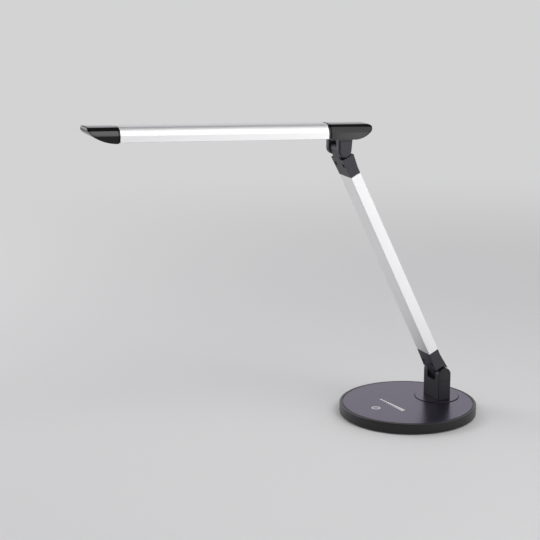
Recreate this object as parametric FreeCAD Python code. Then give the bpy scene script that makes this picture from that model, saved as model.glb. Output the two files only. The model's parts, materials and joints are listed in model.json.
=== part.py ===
"""Folding table lamp: a round weighted base, a swivelling post, a folding arm and a folding light bar.

Lengths are in millimetres and angles in degrees. The origin is the middle of the base's resting face, +Z is
up, and the touch key lies towards -X. Base pieces are modelled in that frame. The rest are modelled in the
frame of the body that carries them, and one placement for each body sets them in the pose of use:
post: swivel axis on Z, hinge axis along Y;
arm: lower pivot at the origin, arm along +Z, back face towards +X;
head: upper pivot at the origin, nose towards -X.
"""
import FreeCAD
import Part

import math
import os

from FreeCAD import Placement, Rotation, Vector

# Pose of use
SWIVEL_REST = -4.7
ARM_LEAN = 25.9
HEAD_TILT = 3.3

# Clearances
FIT_GAP = 0.15
FACE_GAP = 0.05
RUN_GAP = 0.05
TURN_GAP = 0.35
THREAD_GAP = 0.02
STOP_GAP = 0.3
FOLD_GAP = 1.2

# Base
BASE_R = 90.0
BASE_H = 14.5
BASE_WALL = 3.0
RIM_W = 3.5
RIM_FALL = 2.2
RIM_GROOVE = 0.5
PANEL_T = 1.2
DECK_T = 2.0
WEIGHT_T = 5.5
PAD_T = 1.2
PAD_MARGIN = 8.0

# Touch key and control board
TOUCH_INSET = 39.9
ELECTRODE_W = 8.0
BOARD_L = 30.0
BOARD_W = 42.0
BOARD_T = 1.6

# Power inlet
INLET_SUNK = 0.4
INLET_W = 9.0
INLET_H = 8.4
INLET_DEPTH = 14.0
INLET_BORE_R = 2.85
INLET_BORE_DEPTH = 10.0
INLET_PIN_R = 1.05
INLET_PIN_L = 9.0

# Swivel
SWIVEL_INSET = 43.1
SWIVEL_TRAVEL = 90.0
DISC_R = 28.8
DISC_RISE = 0.8
HUB_R = 8.0
KEY_W = 16.0
STOP_WASHER_T = 1.0
STOP_TAB_W = 6.0
STOP_TAB_L = 5.0
STOP_BLOCK_W = 4.0
SWIVEL_NUT_FLATS = 24.0
SWIVEL_NUT_T = 3.0
HUB_END = 0.3

# Post
POST_DEPTH = 18.4
POST_EAR_T = 9.7
SLOT_FLOOR_GAP = 1.7

# Hinge hardware
BOLT_R = 3.0
HEX_FLATS = 10.0
BOLT_HEAD_T = 3.0
NUT_T = 3.0
COVER_T = 1.4
COVER_BORDER = 1.7
FRICTION_T = 0.6
FRICTION_FLATS = 12.0

# Arm
ARM_W = 31.8
ARM_D = 14.2
ARM_WALL = 2.0
ARM_CORNER = 1.0
NECK_L = 36.6
SHOULDER_GAP = 1.3
COLLAR_FRONT = 0.9
COLLAR_BACK = 1.8
COLLAR_STRAIGHT = 8.6
HEEL_S = 5.5
HEEL_OUT = 2.3
TONGUE_W = 18.4
SPIGOT_L = 24.0
SET_SCREW_UP = 19.3
SET_SCREW_OUT = 10.3
SET_SCREW_R = 2.6
SET_SCREW_SUNK = 0.6
LEAD_W = 5.0
LEAD_T = 2.4
LEAD_STOP = 14.0

# Head
HEAD_W = 34.6
HEAD_H = 18.5
HEAD_DROP = 14.4
SIDE_H = 7.8
SIDE_LEAN = 0.7
CROWN_HALF = 9.5
CROWN_DROP = 1.2
SHOULDER_BULGE = 1.1
PROFILE_L = 273.0
PROFILE_WALL = 1.5
COLLAR_STEP = 0.5
NOSE_COLLAR = 2.2
NOSE_L = 37.5
NOSE_SWEEP = 36.5
NOSE_TIP_R = 9.0
NOSE_CROWN_R = 1.6
REAR_COLLAR = 3.8
REAR_SEAM = 23.3
REAR_TIP = 38.0
REAR_SWEEP = 25.0
REAR_TIP_R = 8.5
REAR_CROWN_R = 4.2
PLUG_L = 16.0
CAP_DROP = 1.1

# Light engine
LIP_W = 4.4
LIP_T = 1.5
DIFFUSER_T = 2.0
RAIL_T = 1.2
RAIL_OUT = 1.6
WEB_UP = 8.8
LED_BOARD_T = 1.2
LED_BOARD_W = 24.0
LED_BOARD_SHORT = 20.0
LED_ROWS = 2
LED_COLUMNS = 10
LED_L = 3.5
LED_W = 2.8
LED_T = 0.7
LED_ROW_PITCH = 12.0

# Head yoke
EAR_R = 9.2
EAR_ROOT_HALF = 9.7
EAR_T = 7.25
BRIDGE_H = 5.0
BRIDGE_INSET = 2.6
YOKE_SCREW_R = 2.5
YOKE_SCREW_GRIP = 7.0
LEAD_WAY_X = -6.2

HEX_SIDES = 6

# Heights in the base
weight_top = PAD_T + WEIGHT_T
panel_bottom = BASE_H - PANEL_T
deck_bottom = panel_bottom - DECK_T
inlet_bottom = deck_bottom - INLET_H
inlet_z = deck_bottom - INLET_H / 2

# Radii and places in the base
recess_r = BASE_R - RIM_W
panel_r = recess_r - RIM_GROOVE
cavity_r = BASE_R - BASE_WALL
pad_r = BASE_R - PAD_MARGIN
touch_x = TOUCH_INSET - BASE_R
swivel_x = BASE_R - SWIVEL_INSET
inlet_front = BASE_R - INLET_SUNK
inlet_back = inlet_front - INLET_DEPTH

# Heights on the swivel axis
disc_bottom = panel_bottom + FACE_GAP
disc_top = BASE_H + DISC_RISE
washer_top = deck_bottom - FACE_GAP
washer_bottom = washer_top - STOP_WASHER_T
swivel_nut_bottom = washer_bottom - SWIVEL_NUT_T
hub_bottom = swivel_nut_bottom - HUB_END
nut_reach = SWIVEL_NUT_FLATS / 2 / math.cos(math.pi / HEX_SIDES)
tongue_r = ARM_D / 2
post_r = POST_DEPTH / 2
pivot_z = disc_top + FOLD_GAP + HEAD_DROP + HEAD_H
slot_floor = pivot_z - tongue_r - SLOT_FLOOR_GAP

# Half widths along the hinge axes
tongue_half = TONGUE_W / 2
slot_half = tongue_half + FRICTION_T + FACE_GAP
post_half = slot_half + POST_EAR_T
yoke_half = slot_half + EAR_T
cover_depth = COVER_T + FIT_GAP
bolt_seat = cover_depth + FIT_GAP + BOLT_HEAD_T
nut_seat = cover_depth + FIT_GAP + NUT_T

# Lengths of the arm and the head
nose_seam = REAR_SEAM + PROFILE_L
nose_tip = nose_seam + NOSE_COLLAR + NOSE_L
arm_l = nose_tip + post_r + FOLD_GAP
tube_l = arm_l - 2 * NECK_L
ear_clear_r = max(post_r, EAR_R) + SHOULDER_GAP / 2
shoulder_s = max(post_r, EAR_R) + SHOULDER_GAP
root_end = NECK_L + SPIGOT_L
web_low = HEAD_DROP + WEB_UP
crown_z = HEAD_DROP + HEAD_H
cap_low = HEAD_DROP - CAP_DROP
lip_half = HEAD_W / 2 - LIP_W
groove_half = lip_half + LIP_W / 2
rail_half = groove_half - RAIL_OUT
groove_low = HEAD_DROP + LIP_T
groove_high = groove_low + DIFFUSER_T + FIT_GAP
lead_z = (web_low + PROFILE_WALL + crown_z - PROFILE_WALL) / 2
bridge_half_y = yoke_half - BRIDGE_INSET

ORIGIN = Vector(0, 0, 0)
X_AXIS = Vector(1, 0, 0)
Y_AXIS = Vector(0, 1, 0)
Z_AXIS = Vector(0, 0, 1)
FULL_TURN = 360.0
HALF_TURN = 180.0


def box(x0, x1, y0, y1, z0, z1):
    """Box between two corners."""
    return Part.makeBox(x1 - x0, y1 - y0, z1 - z0, Vector(x0, y0, z0))


def bar(half_x, half_y, z0, z1):
    """Upright box centred on Z."""
    return box(-half_x, half_x, -half_y, half_y, z0, z1)


def disc(radius, z0, z1, x=0.0, y=0.0):
    """Upright cylinder between two heights."""
    return Part.makeCylinder(radius, z1 - z0, Vector(x, y, z0), Z_AXIS)


def across(radius, y0, y1):
    """Cylinder along a hinge axis."""
    return Part.makeCylinder(radius, y1 - y0, Vector(0, y0, 0), Y_AXIS)


def along(radius, x0, x1, y=0.0, z=0.0):
    """Cylinder along X."""
    return Part.makeCylinder(radius, x1 - x0, Vector(x0, y, z), X_AXIS)


def moved(shape, x, y, z):
    """Copy of a shape, shifted."""
    copy = shape.copy()
    copy.translate(Vector(x, y, z))
    return copy


def turned(shape, degrees):
    """Copy of a shape, turned about Z."""
    copy = shape.copy()
    copy.rotate(ORIGIN, Z_AXIS, degrees)
    return copy


def closed_face(curves):
    """Face inside a closed run of lines and arcs."""
    return Part.Face(Part.Wire([curve.toShape() for curve in curves]))


def bevelled_bar(half_x, half_y, corner, z0, z1):
    """Upright bar of rectangular section with bevelled corners, centred on Z."""
    plain = bar(half_x, half_y, z0, z1)
    upright = [edge for edge in plain.Edges if edge.BoundBox.ZLength > (z1 - z0) / 2]
    return plain.makeChamfer(corner, upright)


def hexagon(flats, y0, y1):
    """Six-sided bar along a hinge axis, given its width across flats."""
    corner = flats / 2 / math.cos(math.pi / HEX_SIDES)
    angles = [2 * math.pi * i / HEX_SIDES for i in range(HEX_SIDES + 1)]
    points = [Vector(corner * math.cos(a), y0, corner * math.sin(a)) for a in angles]
    return Part.Face(Part.makePolygon(points)).extrude(Vector(0, y1 - y0, 0))


def upright_hexagon(flats, z0, z1):
    """Six-sided bar along Z."""
    lying = hexagon(flats, -z1, -z0)
    lying.rotate(ORIGIN, X_AXIS, -HALF_TURN / 2)
    return lying


def lug_face(radius, root_half, root_dist, side):
    """Outline of a hinge ear about its pivot: a round end, with flanks tangent to it and a straight root."""
    reach = math.hypot(root_half, root_dist)
    angle = math.atan2(root_dist, root_half) - math.acos(radius / reach)
    touch = Vector(radius * math.cos(angle), 0, side * radius * math.sin(angle))
    root = Vector(root_half, 0, side * root_dist)
    end = Vector(0, 0, -side * radius)
    touch_left = Vector(-touch.x, 0, touch.z)
    root_left = Vector(-root.x, 0, root.z)
    return closed_face([
        Part.LineSegment(root_left, root),
        Part.LineSegment(root, touch),
        Part.Arc(touch, end, touch_left),
        Part.LineSegment(touch_left, root_left),
    ])


def slab(face, y0, y1):
    """Plate of a face drawn in the XZ plane, between two places across the hinge."""
    return moved(face, 0, y0, 0).extrude(Vector(0, y1 - y0, 0))


# Base pieces

def base_shell():
    """Moulded shell: upright wall, sloping rim, deck with the panel's recess, swivel bore and end stops."""
    outline = [
        Vector(0, 0, PAD_T),
        Vector(BASE_R, 0, PAD_T),
        Vector(BASE_R, 0, BASE_H - RIM_FALL),
        Vector(recess_r, 0, BASE_H),
        Vector(recess_r, 0, panel_bottom),
        Vector(0, 0, panel_bottom),
        Vector(0, 0, PAD_T),
    ]
    body = Part.Face(Part.makePolygon(outline)).revolve(ORIGIN, Z_AXIS, FULL_TURN)
    body = body.cut(disc(cavity_r, PAD_T, deck_bottom))
    body = body.fuse([moved(block, swivel_x, 0, 0) for block in stop_blocks()]).removeSplitter()
    half = ELECTRODE_W / 2 + FIT_GAP
    inlet_half = INLET_W / 2 + FIT_GAP
    return body.cut([
        disc(HUB_R + RUN_GAP, deck_bottom, panel_bottom, swivel_x),
        box(touch_x - half, touch_x + half, -half, half, deck_bottom, panel_bottom),
        box(inlet_back, BASE_R, -inlet_half, inlet_half, inlet_bottom - FIT_GAP, deck_bottom),
    ])


def stop_blocks():
    """Two blocks under the deck, each met by the stop washer's tab at one end of the swivel's travel."""
    near = STOP_TAB_W / 2 + STOP_GAP
    inner = nut_reach + TURN_GAP
    outer = nut_reach + STOP_TAB_L
    low = washer_bottom
    left = box(-outer, -inner, -near - STOP_BLOCK_W, -near, low, deck_bottom)
    right = box(-outer, -inner, near, near + STOP_BLOCK_W, low, deck_bottom)
    return [turned(left, SWIVEL_TRAVEL), turned(right, -SWIVEL_TRAVEL)]


def base_top_panel():
    """Thin round cover in the shell's recess, with a hole for the turntable."""
    return disc(panel_r, panel_bottom, BASE_H).cut(disc(DISC_R + TURN_GAP, panel_bottom, BASE_H, swivel_x))


def base_weight():
    """Iron plate that weights the base and closes the shell, notched for the power inlet."""
    half = INLET_W / 2 + FIT_GAP
    notch = box(inlet_back - FIT_GAP, BASE_R, -half, half, inlet_bottom - FIT_GAP, weight_top)
    return disc(cavity_r - FIT_GAP, PAD_T, weight_top).cut(notch)


def anti_slip_pad():
    """Soft round sheet that the lamp stands on."""
    return disc(pad_r, 0, PAD_T)


def control_board():
    """Touch and dimmer board, bonded under the deck below the touch key."""
    half_l = BOARD_L / 2
    half_w = BOARD_W / 2
    return box(touch_x - half_l, touch_x + half_l, -half_w, half_w, deck_bottom - BOARD_T, deck_bottom)


def touch_electrode():
    """Conductive block from the control board up to the panel, under the touch key."""
    half = ELECTRODE_W / 2
    return box(touch_x - half, touch_x + half, -half, half, deck_bottom, panel_bottom)


def inlet_housing():
    """Low-voltage socket at the back of the base, its face flush in the wall."""
    half = INLET_W / 2
    body = box(inlet_back, inlet_front, -half, half, inlet_bottom, deck_bottom)
    return body.cut(along(INLET_BORE_R, inlet_front - INLET_BORE_DEPTH, inlet_front, 0, inlet_z))


def inlet_pin():
    """Centre contact of the socket."""
    root = inlet_front - INLET_BORE_DEPTH
    return along(INLET_PIN_R, root, root + INLET_PIN_L, 0, inlet_z)


# Post pieces, about the swivel axis

def turntable():
    """Raised round disc under the post, keyed to it by a square hole."""
    key_half = KEY_W / 2 + FIT_GAP
    return disc(DISC_R, disc_bottom, disc_top).cut(bar(key_half, key_half, disc_bottom, disc_top))


def stop_washer():
    """Washer under the deck whose tab turns between the stop blocks."""
    reach = nut_reach + STOP_TAB_L
    tab = box(-reach, 0, -STOP_TAB_W / 2, STOP_TAB_W / 2, washer_bottom, washer_top)
    plate = upright_hexagon(SWIVEL_NUT_FLATS, washer_bottom, washer_top).fuse(tab).removeSplitter()
    return plate.cut(disc(HUB_R + THREAD_GAP, washer_bottom, washer_top))


def swivel_nut():
    """Thin hexagon nut on the hub's end, which holds the post down on the deck."""
    nut = upright_hexagon(SWIVEL_NUT_FLATS, swivel_nut_bottom, washer_bottom)
    return nut.cut(disc(HUB_R + THREAD_GAP, swivel_nut_bottom, washer_bottom))


def hinge_post():
    """Post with two rounded ears, over a square key and a threaded hub, with a way for the lead."""
    face = moved(lug_face(post_r, post_r, pivot_z - disc_top, -1), 0, 0, pivot_z)
    body = slab(face, -post_half, post_half)
    key = bar(KEY_W / 2, KEY_W / 2, disc_bottom, disc_top)
    body = body.fuse([key, disc(HUB_R, hub_bottom, disc_bottom)]).removeSplitter()
    cuts = [bar(POST_DEPTH, slot_half, slot_floor, pivot_z + POST_DEPTH)]
    cuts.append(bar(LEAD_T, LEAD_W, hub_bottom, slot_floor))
    cuts += [moved(cut, 0, 0, pivot_z) for cut in hinge_cuts(post_half, post_cover_face())]
    return body.cut(cuts)


def post_cover_face(gap=0.0):
    """Outline of the cover on a post ear, drawn about the pivot."""
    half = post_r - COVER_BORDER - gap
    return lug_face(half, half, post_r - gap, -1)


# Hinge hardware, about a hinge axis along Y

def hinge_cuts(half, cover_face):
    """Cuts in a pair of ears: bolt bore, pockets for the bolt's head and nut, and recesses for the covers."""
    return [
        across(BOLT_R + RUN_GAP, -half, half),
        hexagon(HEX_FLATS + 2 * FIT_GAP, -half, -half + bolt_seat),
        hexagon(HEX_FLATS + 2 * FIT_GAP, half - nut_seat, half),
        slab(cover_face, -half, -half + cover_depth),
        slab(cover_face, half - cover_depth, half),
    ]


def hinge_bolt(half):
    """Hexagon bolt through both ears and the tongue."""
    seat = -half + bolt_seat
    head = hexagon(HEX_FLATS, seat - BOLT_HEAD_T, seat)
    return head.fuse(across(BOLT_R, seat, half - nut_seat + NUT_T)).removeSplitter()


def hinge_nut(half):
    """Hexagon nut on the bolt's end."""
    start = half - nut_seat
    return hexagon(HEX_FLATS, start, start + NUT_T).cut(across(BOLT_R + THREAD_GAP, start, start + NUT_T))


def ear_covers(half, face):
    """Pair of snap-in covers that hide the bolt's head and nut."""
    return Part.makeCompound([slab(face, -half, -half + COVER_T), slab(face, half - COVER_T, half)])


def friction_washers():
    """Pair of friction washers, one on each side of a tongue."""
    bore = across(BOLT_R + RUN_GAP, -slot_half, slot_half)
    near = hexagon(FRICTION_FLATS, -tongue_half - FRICTION_T, -tongue_half)
    far = hexagon(FRICTION_FLATS, tongue_half, tongue_half + FRICTION_T)
    return Part.makeCompound([near.cut(bore), far.cut(bore)])


# Arm pieces, from the lower pivot along +Z

def arm_tube():
    """Rectangular tube with bevelled corners."""
    return hollow_bar(NECK_L, NECK_L + tube_l)


def hollow_bar(z0, z1):
    """Length of the arm's hollow section."""
    inner = bar(ARM_D / 2 - ARM_WALL, ARM_W / 2 - ARM_WALL, z0, z1)
    return bevelled_bar(ARM_D / 2, ARM_W / 2, ARM_CORNER, z0, z1).cut(inner)


def sleeve(heel=False):
    """Collar that grows deeper from the tube to the hinge, with two holes for its set screws.

    A collar with a heel reaches past its shoulder at the back, round the ears and behind the tongue.
    """
    half = ARM_D / 2
    front = -half - COLLAR_FRONT
    outline = [(-half, NECK_L), (front, shoulder_s)]
    if heel:
        toe = math.sqrt(ear_clear_r ** 2 - HEEL_S ** 2)
        outline += [(toe + HEEL_S - shoulder_s, shoulder_s), (toe, HEEL_S), (half + HEEL_OUT, HEEL_S)]
    outline += [(half + COLLAR_BACK, shoulder_s), (half, NECK_L - COLLAR_STRAIGHT), (half, NECK_L)]
    points = [Vector(x, 0, z) for x, z in outline]
    block = slab(Part.Face(Part.makePolygon(points + points[:1])), -ARM_W / 2, ARM_W / 2)
    long_edges = [edge for edge in block.Edges if is_long_edge(edge.BoundBox)]
    bores = [along(SET_SCREW_R, front, 0, y, SET_SCREW_UP) for y in (-SET_SCREW_OUT, SET_SCREW_OUT)]
    core = bar(half - ARM_WALL, ARM_W / 2 - ARM_WALL, shoulder_s, NECK_L)
    leaf_way = bar(tongue_r + FIT_GAP, tongue_half + FIT_GAP, 0, shoulder_s)
    return block.makeChamfer(ARM_CORNER, long_edges).cut(bores + [core, leaf_way])


def is_long_edge(extent):
    """Whether an edge's extent is that of a long corner on a collar's front or back."""
    return extent.ZLength > 2 * ARM_CORNER and abs(extent.Center.x) > ARM_D / 2 - ARM_CORNER


def tongue():
    """Hinge tongue with a round end, on a root that fills the collar and plugs the tube."""
    root = bar(ARM_D / 2 - ARM_WALL - FIT_GAP, ARM_W / 2 - ARM_WALL - FIT_GAP, shoulder_s, root_end)
    leaf = across(tongue_r, -tongue_half, tongue_half).fuse(bar(tongue_r, tongue_half, 0, shoulder_s))
    body = leaf.fuse(root).removeSplitter()
    lead_way = bar(LEAD_T / 2 + FIT_GAP, LEAD_W / 2 + FIT_GAP, LEAD_STOP, root_end)
    return body.cut([across(BOLT_R + RUN_GAP, -tongue_half, tongue_half), lead_way])


def set_screws():
    """Headless screws in a collar, pressed on its tongue's root."""
    start = -ARM_D / 2 + SET_SCREW_SUNK
    end = -ARM_D / 2 + ARM_WALL + FIT_GAP
    radius = SET_SCREW_R - THREAD_GAP
    places = (-SET_SCREW_OUT, SET_SCREW_OUT)
    return Part.makeCompound([along(radius, start, end, y, SET_SCREW_UP) for y in places])


def at_upper_end(shape):
    """The same piece at the arm's other end."""
    return shape.mirror(Vector(0, 0, arm_l / 2), Z_AXIS)


def both_ends(shape):
    """A piece at the arm's lower end, grouped with the same piece at its upper end."""
    return Part.makeCompound(shape.Solids + at_upper_end(shape).Solids)


def arm_lead():
    """Flat two-core lead through the tube, held in the tongues' channels."""
    return bar(LEAD_T / 2, LEAD_W / 2, LEAD_STOP, arm_l - LEAD_STOP)


# Head pieces, about the upper pivot

def section_face(x, inset=0.0, drop=0.0):
    """Cross-section of the head at x: leaning sides, full shoulders and a shallow crown."""
    foot = Vector(x, HEAD_W / 2 + SIDE_LEAN * drop / SIDE_H, HEAD_DROP - drop)
    waist = Vector(x, HEAD_W / 2 - SIDE_LEAN, HEAD_DROP + SIDE_H)
    crease = Vector(x, CROWN_HALF, crown_z - CROWN_DROP)
    chord = crease - waist
    outward = Vector(0, chord.z, -chord.y).normalize()
    bulge = (waist + crease) / 2 + outward * SHOULDER_BULGE
    crown = Vector(x, 0, crown_z)

    def left(point):
        return Vector(point.x, -point.y, point.z)

    face = closed_face([
        Part.LineSegment(left(foot), foot),
        Part.LineSegment(foot, waist),
        Part.Arc(waist, bulge, crease),
        Part.Arc(crease, crown, left(crease)),
        Part.Arc(left(crease), left(bulge), left(waist)),
        Part.LineSegment(left(waist), left(foot)),
    ])
    return face.makeOffset2D(-inset) if inset else face


def section_bar(x0, x1, inset=0.0, drop=0.0):
    """Bar of the head's section between two places along it."""
    return section_face(x0, inset, drop).extrude(Vector(x1 - x0, 0, 0))


def upper_space(x0, x1, gap=0.0):
    """The profile's closed space above its web, less a gap all round."""
    low = web_low + PROFILE_WALL + gap
    above = box(min(x0, x1), max(x0, x1), -HEAD_W, HEAD_W, low, crown_z)
    return section_bar(x0, x1, PROFILE_WALL + gap).common(above)


def head_profile():
    """Extruded bar: crown over a closed upper space, a web, and a channel with grooves for the diffuser."""
    x0 = -nose_seam
    x1 = -REAR_SEAM
    rail_high = groove_high + RAIL_T
    steps = (
        (lip_half, HEAD_DROP, groove_low),
        (groove_half, groove_low, groove_high),
        (rail_half, groove_high, rail_high),
        (groove_half, rail_high, web_low),
    )
    channel = [box(x0, x1, -half, half, low, high) for half, low, high in steps]
    return section_bar(x0, x1).cut(channel + [upper_space(x0, x1)])


def diffuser():
    """Milky cover in the profile's grooves, with a step that fills the mouth between its lips."""
    x0 = -nose_seam
    x1 = -REAR_SEAM
    half = groove_half - FIT_GAP
    lens_half = lip_half - FIT_GAP
    plate = box(x0, x1, -half, half, groove_low, groove_low + DIFFUSER_T)
    lens = box(x0, x1, -lens_half, lens_half, groove_low - LIP_T / 2, groove_low)
    return plate.fuse(lens).removeSplitter()


def led_span():
    """Ends of the light board along the head."""
    return -nose_seam + LED_BOARD_SHORT, -REAR_SEAM - LED_BOARD_SHORT


def led_board():
    """Metal-cored light board, bonded under the profile's web."""
    x0, x1 = led_span()
    return box(x0, x1, -LED_BOARD_W / 2, LED_BOARD_W / 2, web_low - LED_BOARD_T, web_low)


def led_chips():
    """Rows of light-emitting chips on the board's underside."""
    x0, x1 = led_span()
    top = web_low - LED_BOARD_T
    pitch = (x1 - x0) / LED_COLUMNS
    solids = []
    for row in range(LED_ROWS):
        y = (row - (LED_ROWS - 1) / 2) * LED_ROW_PITCH
        for column in range(LED_COLUMNS):
            x = x0 + (column + 0.5) * pitch
            solids.append(box(x - LED_L / 2, x + LED_L / 2, y - LED_W / 2, y + LED_W / 2, top - LED_T, top))
    return Part.makeCompound(solids)


def arc_about(centre, radius, start, end):
    """Arc in the XZ plane about a centre, between two directions in degrees from +X."""
    angles = [math.radians(a) for a in (start, (start + end) / 2, end)]
    return Part.Arc(*[centre + Vector(radius * math.cos(a), 0, radius * math.sin(a)) for a in angles])


def swept_hull(length, sweep, tip_r, crown_r):
    """Prism across the head, from x = 0 to a tip at x = length.

    Its underside sweeps up over the stretch called sweep, in a large arc and a small one tangent to it, and a
    last arc turns it into the crown.
    """
    top = HEAD_H + CAP_DROP
    rise = top - crown_r
    large_r = ((sweep - tip_r) ** 2 + rise ** 2 - tip_r ** 2) / (2 * (rise - tip_r))
    large = Vector(length - sweep, 0, large_r)
    small = Vector(length - tip_r, 0, rise)
    meet = math.degrees(math.atan2(small.z - large.z, small.x - large.x))
    face = closed_face([
        Part.LineSegment(Vector(0, 0, 0), Vector(length - sweep, 0, 0)),
        arc_about(large, large_r, -HALF_TURN / 2, meet),
        arc_about(small, tip_r, meet, 0),
        arc_about(Vector(length - crown_r, 0, rise), crown_r, 0, HALF_TURN / 2),
        Part.LineSegment(Vector(length - crown_r, 0, top), Vector(0, 0, top)),
        Part.LineSegment(Vector(0, 0, top), Vector(0, 0, 0)),
    ])
    return moved(slab(face, -HEAD_W, HEAD_W), 0, 0, cap_low)


def plug(x_seam, x_end):
    """Plug of an end cap, bonded in the profile's upper space."""
    return upper_space(x_seam, x_end, FIT_GAP)


def nose_cap():
    """Hull-shaped cap on the free end, behind a narrow stepped collar."""
    x_body = -nose_seam - NOSE_COLLAR
    hull = swept_hull(NOSE_L, NOSE_SWEEP, NOSE_TIP_R, NOSE_CROWN_R)
    hull.rotate(ORIGIN, Z_AXIS, HALF_TURN)
    body = section_bar(x_body, -nose_tip, drop=CAP_DROP).common(moved(hull, x_body, 0, 0))
    collar = section_bar(-nose_seam, x_body, COLLAR_STEP)
    return body.fuse([collar, plug(-nose_seam, -nose_seam + PLUG_L)]).removeSplitter()


def rear_cap():
    """Hull-shaped cap over the upper hinge, with a pocket for the yoke's bridge and a way for the lead."""
    x_body = -REAR_SEAM + REAR_COLLAR
    hull = swept_hull(REAR_TIP - x_body, REAR_SWEEP, REAR_TIP_R, REAR_CROWN_R)
    body = section_bar(x_body, REAR_TIP, drop=CAP_DROP).common(moved(hull, x_body, 0, 0))
    collar = section_bar(-REAR_SEAM, x_body, COLLAR_STEP)
    body = body.fuse([collar, plug(-REAR_SEAM, -REAR_SEAM - PLUG_L)]).removeSplitter()
    bridge_top = HEAD_DROP + BRIDGE_H
    half_w = LEAD_W / 2 + FIT_GAP
    half_t = LEAD_T / 2 + FIT_GAP
    lead_back = LEAD_WAY_X + half_t
    return body.cut([
        bar(EAR_ROOT_HALF + FIT_GAP, bridge_half_y + FIT_GAP, cap_low, bridge_top),
        disc(YOKE_SCREW_R, bridge_top, bridge_top + YOKE_SCREW_GRIP),
        box(-REAR_SEAM - PLUG_L, lead_back, -half_w, half_w, lead_z - half_t, lead_z + half_t),
        box(lead_back - 2 * half_t, lead_back, -half_w, half_w, bridge_top, lead_z),
    ])


def head_yoke():
    """Yoke with two tapered ears under the rear cap, joined by a bridge sunk in it."""
    face = lug_face(EAR_R, EAR_ROOT_HALF, cap_low, 1)
    near = slab(face, -yoke_half, -slot_half)
    far = slab(face, slot_half, yoke_half)
    bridge_top = HEAD_DROP + BRIDGE_H
    body = bar(EAR_ROOT_HALF, bridge_half_y, cap_low, bridge_top).fuse([near, far]).removeSplitter()
    half_w = LEAD_W / 2 + FIT_GAP
    half_t = LEAD_T / 2 + FIT_GAP
    return body.cut(hinge_cuts(yoke_half, yoke_cover_face()) + [
        disc(YOKE_SCREW_R, cap_low, bridge_top),
        box(LEAD_WAY_X - half_t, LEAD_WAY_X + half_t, -half_w, half_w, cap_low, bridge_top),
    ])


def yoke_cover_face(gap=0.0):
    """Outline of the cover on a yoke ear, drawn about the pivot."""
    border = COVER_BORDER + gap
    return lug_face(EAR_R - border, EAR_ROOT_HALF - border, cap_low - border, 1)


def yoke_screw():
    """Headless screw between the ears, up through the yoke's bridge into the rear cap."""
    return disc(YOKE_SCREW_R - THREAD_GAP, cap_low + FIT_GAP, HEAD_DROP + BRIDGE_H + YOKE_SCREW_GRIP)


def head_lead():
    """Flat lead through the rear cap's plug to the light board's end."""
    half_z = LEAD_T / 2
    return box(led_span()[1], LEAD_WAY_X, -LEAD_W / 2, LEAD_W / 2, lead_z - half_z, lead_z + half_z)


# Placements of the bodies in the pose of use

def post_frame():
    """Swivel axis upright at the back of the base, turned to the pose of use."""
    return Placement(Vector(swivel_x, 0, 0), Rotation(Z_AXIS, SWIVEL_REST))


def arm_frame():
    """Lower pivot in the post, leaning towards the touch key."""
    return post_frame() * Placement(Vector(0, 0, pivot_z), Rotation(Y_AXIS, -ARM_LEAN))


def head_frame():
    """Upper pivot at the arm's end, with the nose tilted up from level."""
    lean = math.radians(ARM_LEAN)
    place = Vector(-arm_l * math.sin(lean), 0, pivot_z + arm_l * math.cos(lean))
    return post_frame() * Placement(place, Rotation(Y_AXIS, HEAD_TILT))


def placed(shape, frame):
    """Copy of a piece, moved from its body's frame to the lamp's."""
    copy = shape.copy()
    copy.Placement = frame * copy.Placement
    return copy


def pieces():
    """Every piece by name, in the lamp's frame."""
    bodies = (
        (Placement(), {
            "base_shell": base_shell(),
            "base_top_panel": base_top_panel(),
            "base_weight": base_weight(),
            "anti_slip_pad": anti_slip_pad(),
            "control_board": control_board(),
            "touch_electrode": touch_electrode(),
            "dc_inlet_housing": inlet_housing(),
            "dc_inlet_pin": inlet_pin(),
        }),
        (post_frame(), {
            "turntable": turntable(),
            "stop_washer": stop_washer(),
            "swivel_nut": swivel_nut(),
            "hinge_post": hinge_post(),
            "lower_hinge_bolt": moved(hinge_bolt(post_half), 0, 0, pivot_z),
            "lower_hinge_nut": moved(hinge_nut(post_half), 0, 0, pivot_z),
            "lower_ear_covers": moved(ear_covers(post_half, post_cover_face(FIT_GAP)), 0, 0, pivot_z),
        }),
        (arm_frame(), {
            "arm_tube": arm_tube(),
            "lower_sleeve": sleeve(heel=True),
            "upper_sleeve": at_upper_end(sleeve()),
            "lower_tongue": tongue(),
            "upper_tongue": at_upper_end(tongue()),
            "set_screws": both_ends(set_screws()),
            "friction_washers": both_ends(friction_washers()),
            "arm_lead": arm_lead(),
        }),
        (head_frame(), {
            "head_profile": head_profile(),
            "diffuser": diffuser(),
            "led_board": led_board(),
            "led_chips": led_chips(),
            "nose_cap": nose_cap(),
            "rear_cap": rear_cap(),
            "head_yoke": head_yoke(),
            "yoke_screw": yoke_screw(),
            "head_lead": head_lead(),
            "upper_hinge_bolt": hinge_bolt(yoke_half),
            "upper_hinge_nut": hinge_nut(yoke_half),
            "upper_ear_covers": ear_covers(yoke_half, yoke_cover_face(FIT_GAP)),
        }),
    )
    return {name: placed(shape, frame) for frame, shapes in bodies for name, shape in shapes.items()}


def main():
    """Write one STEP file for each piece."""
    os.makedirs("parts", exist_ok=True)
    for name, shape in pieces().items():
        shape.exportStep(f"parts/{name}.step")


main()
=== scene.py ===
"""Fine shapes, finishes and studio of a folding table lamp, laid out as an add-on and run as a script.

Everything is in metres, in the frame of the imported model. Pieces are modelled in the frame of the body that
carries them and moved to their place in the mesh, so every object stays at the origin.
"""
import json
import math

import bmesh
import bpy
from bpy.props import FloatProperty, FloatVectorProperty, IntProperty, PointerProperty
from mathutils import Matrix, Vector


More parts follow.
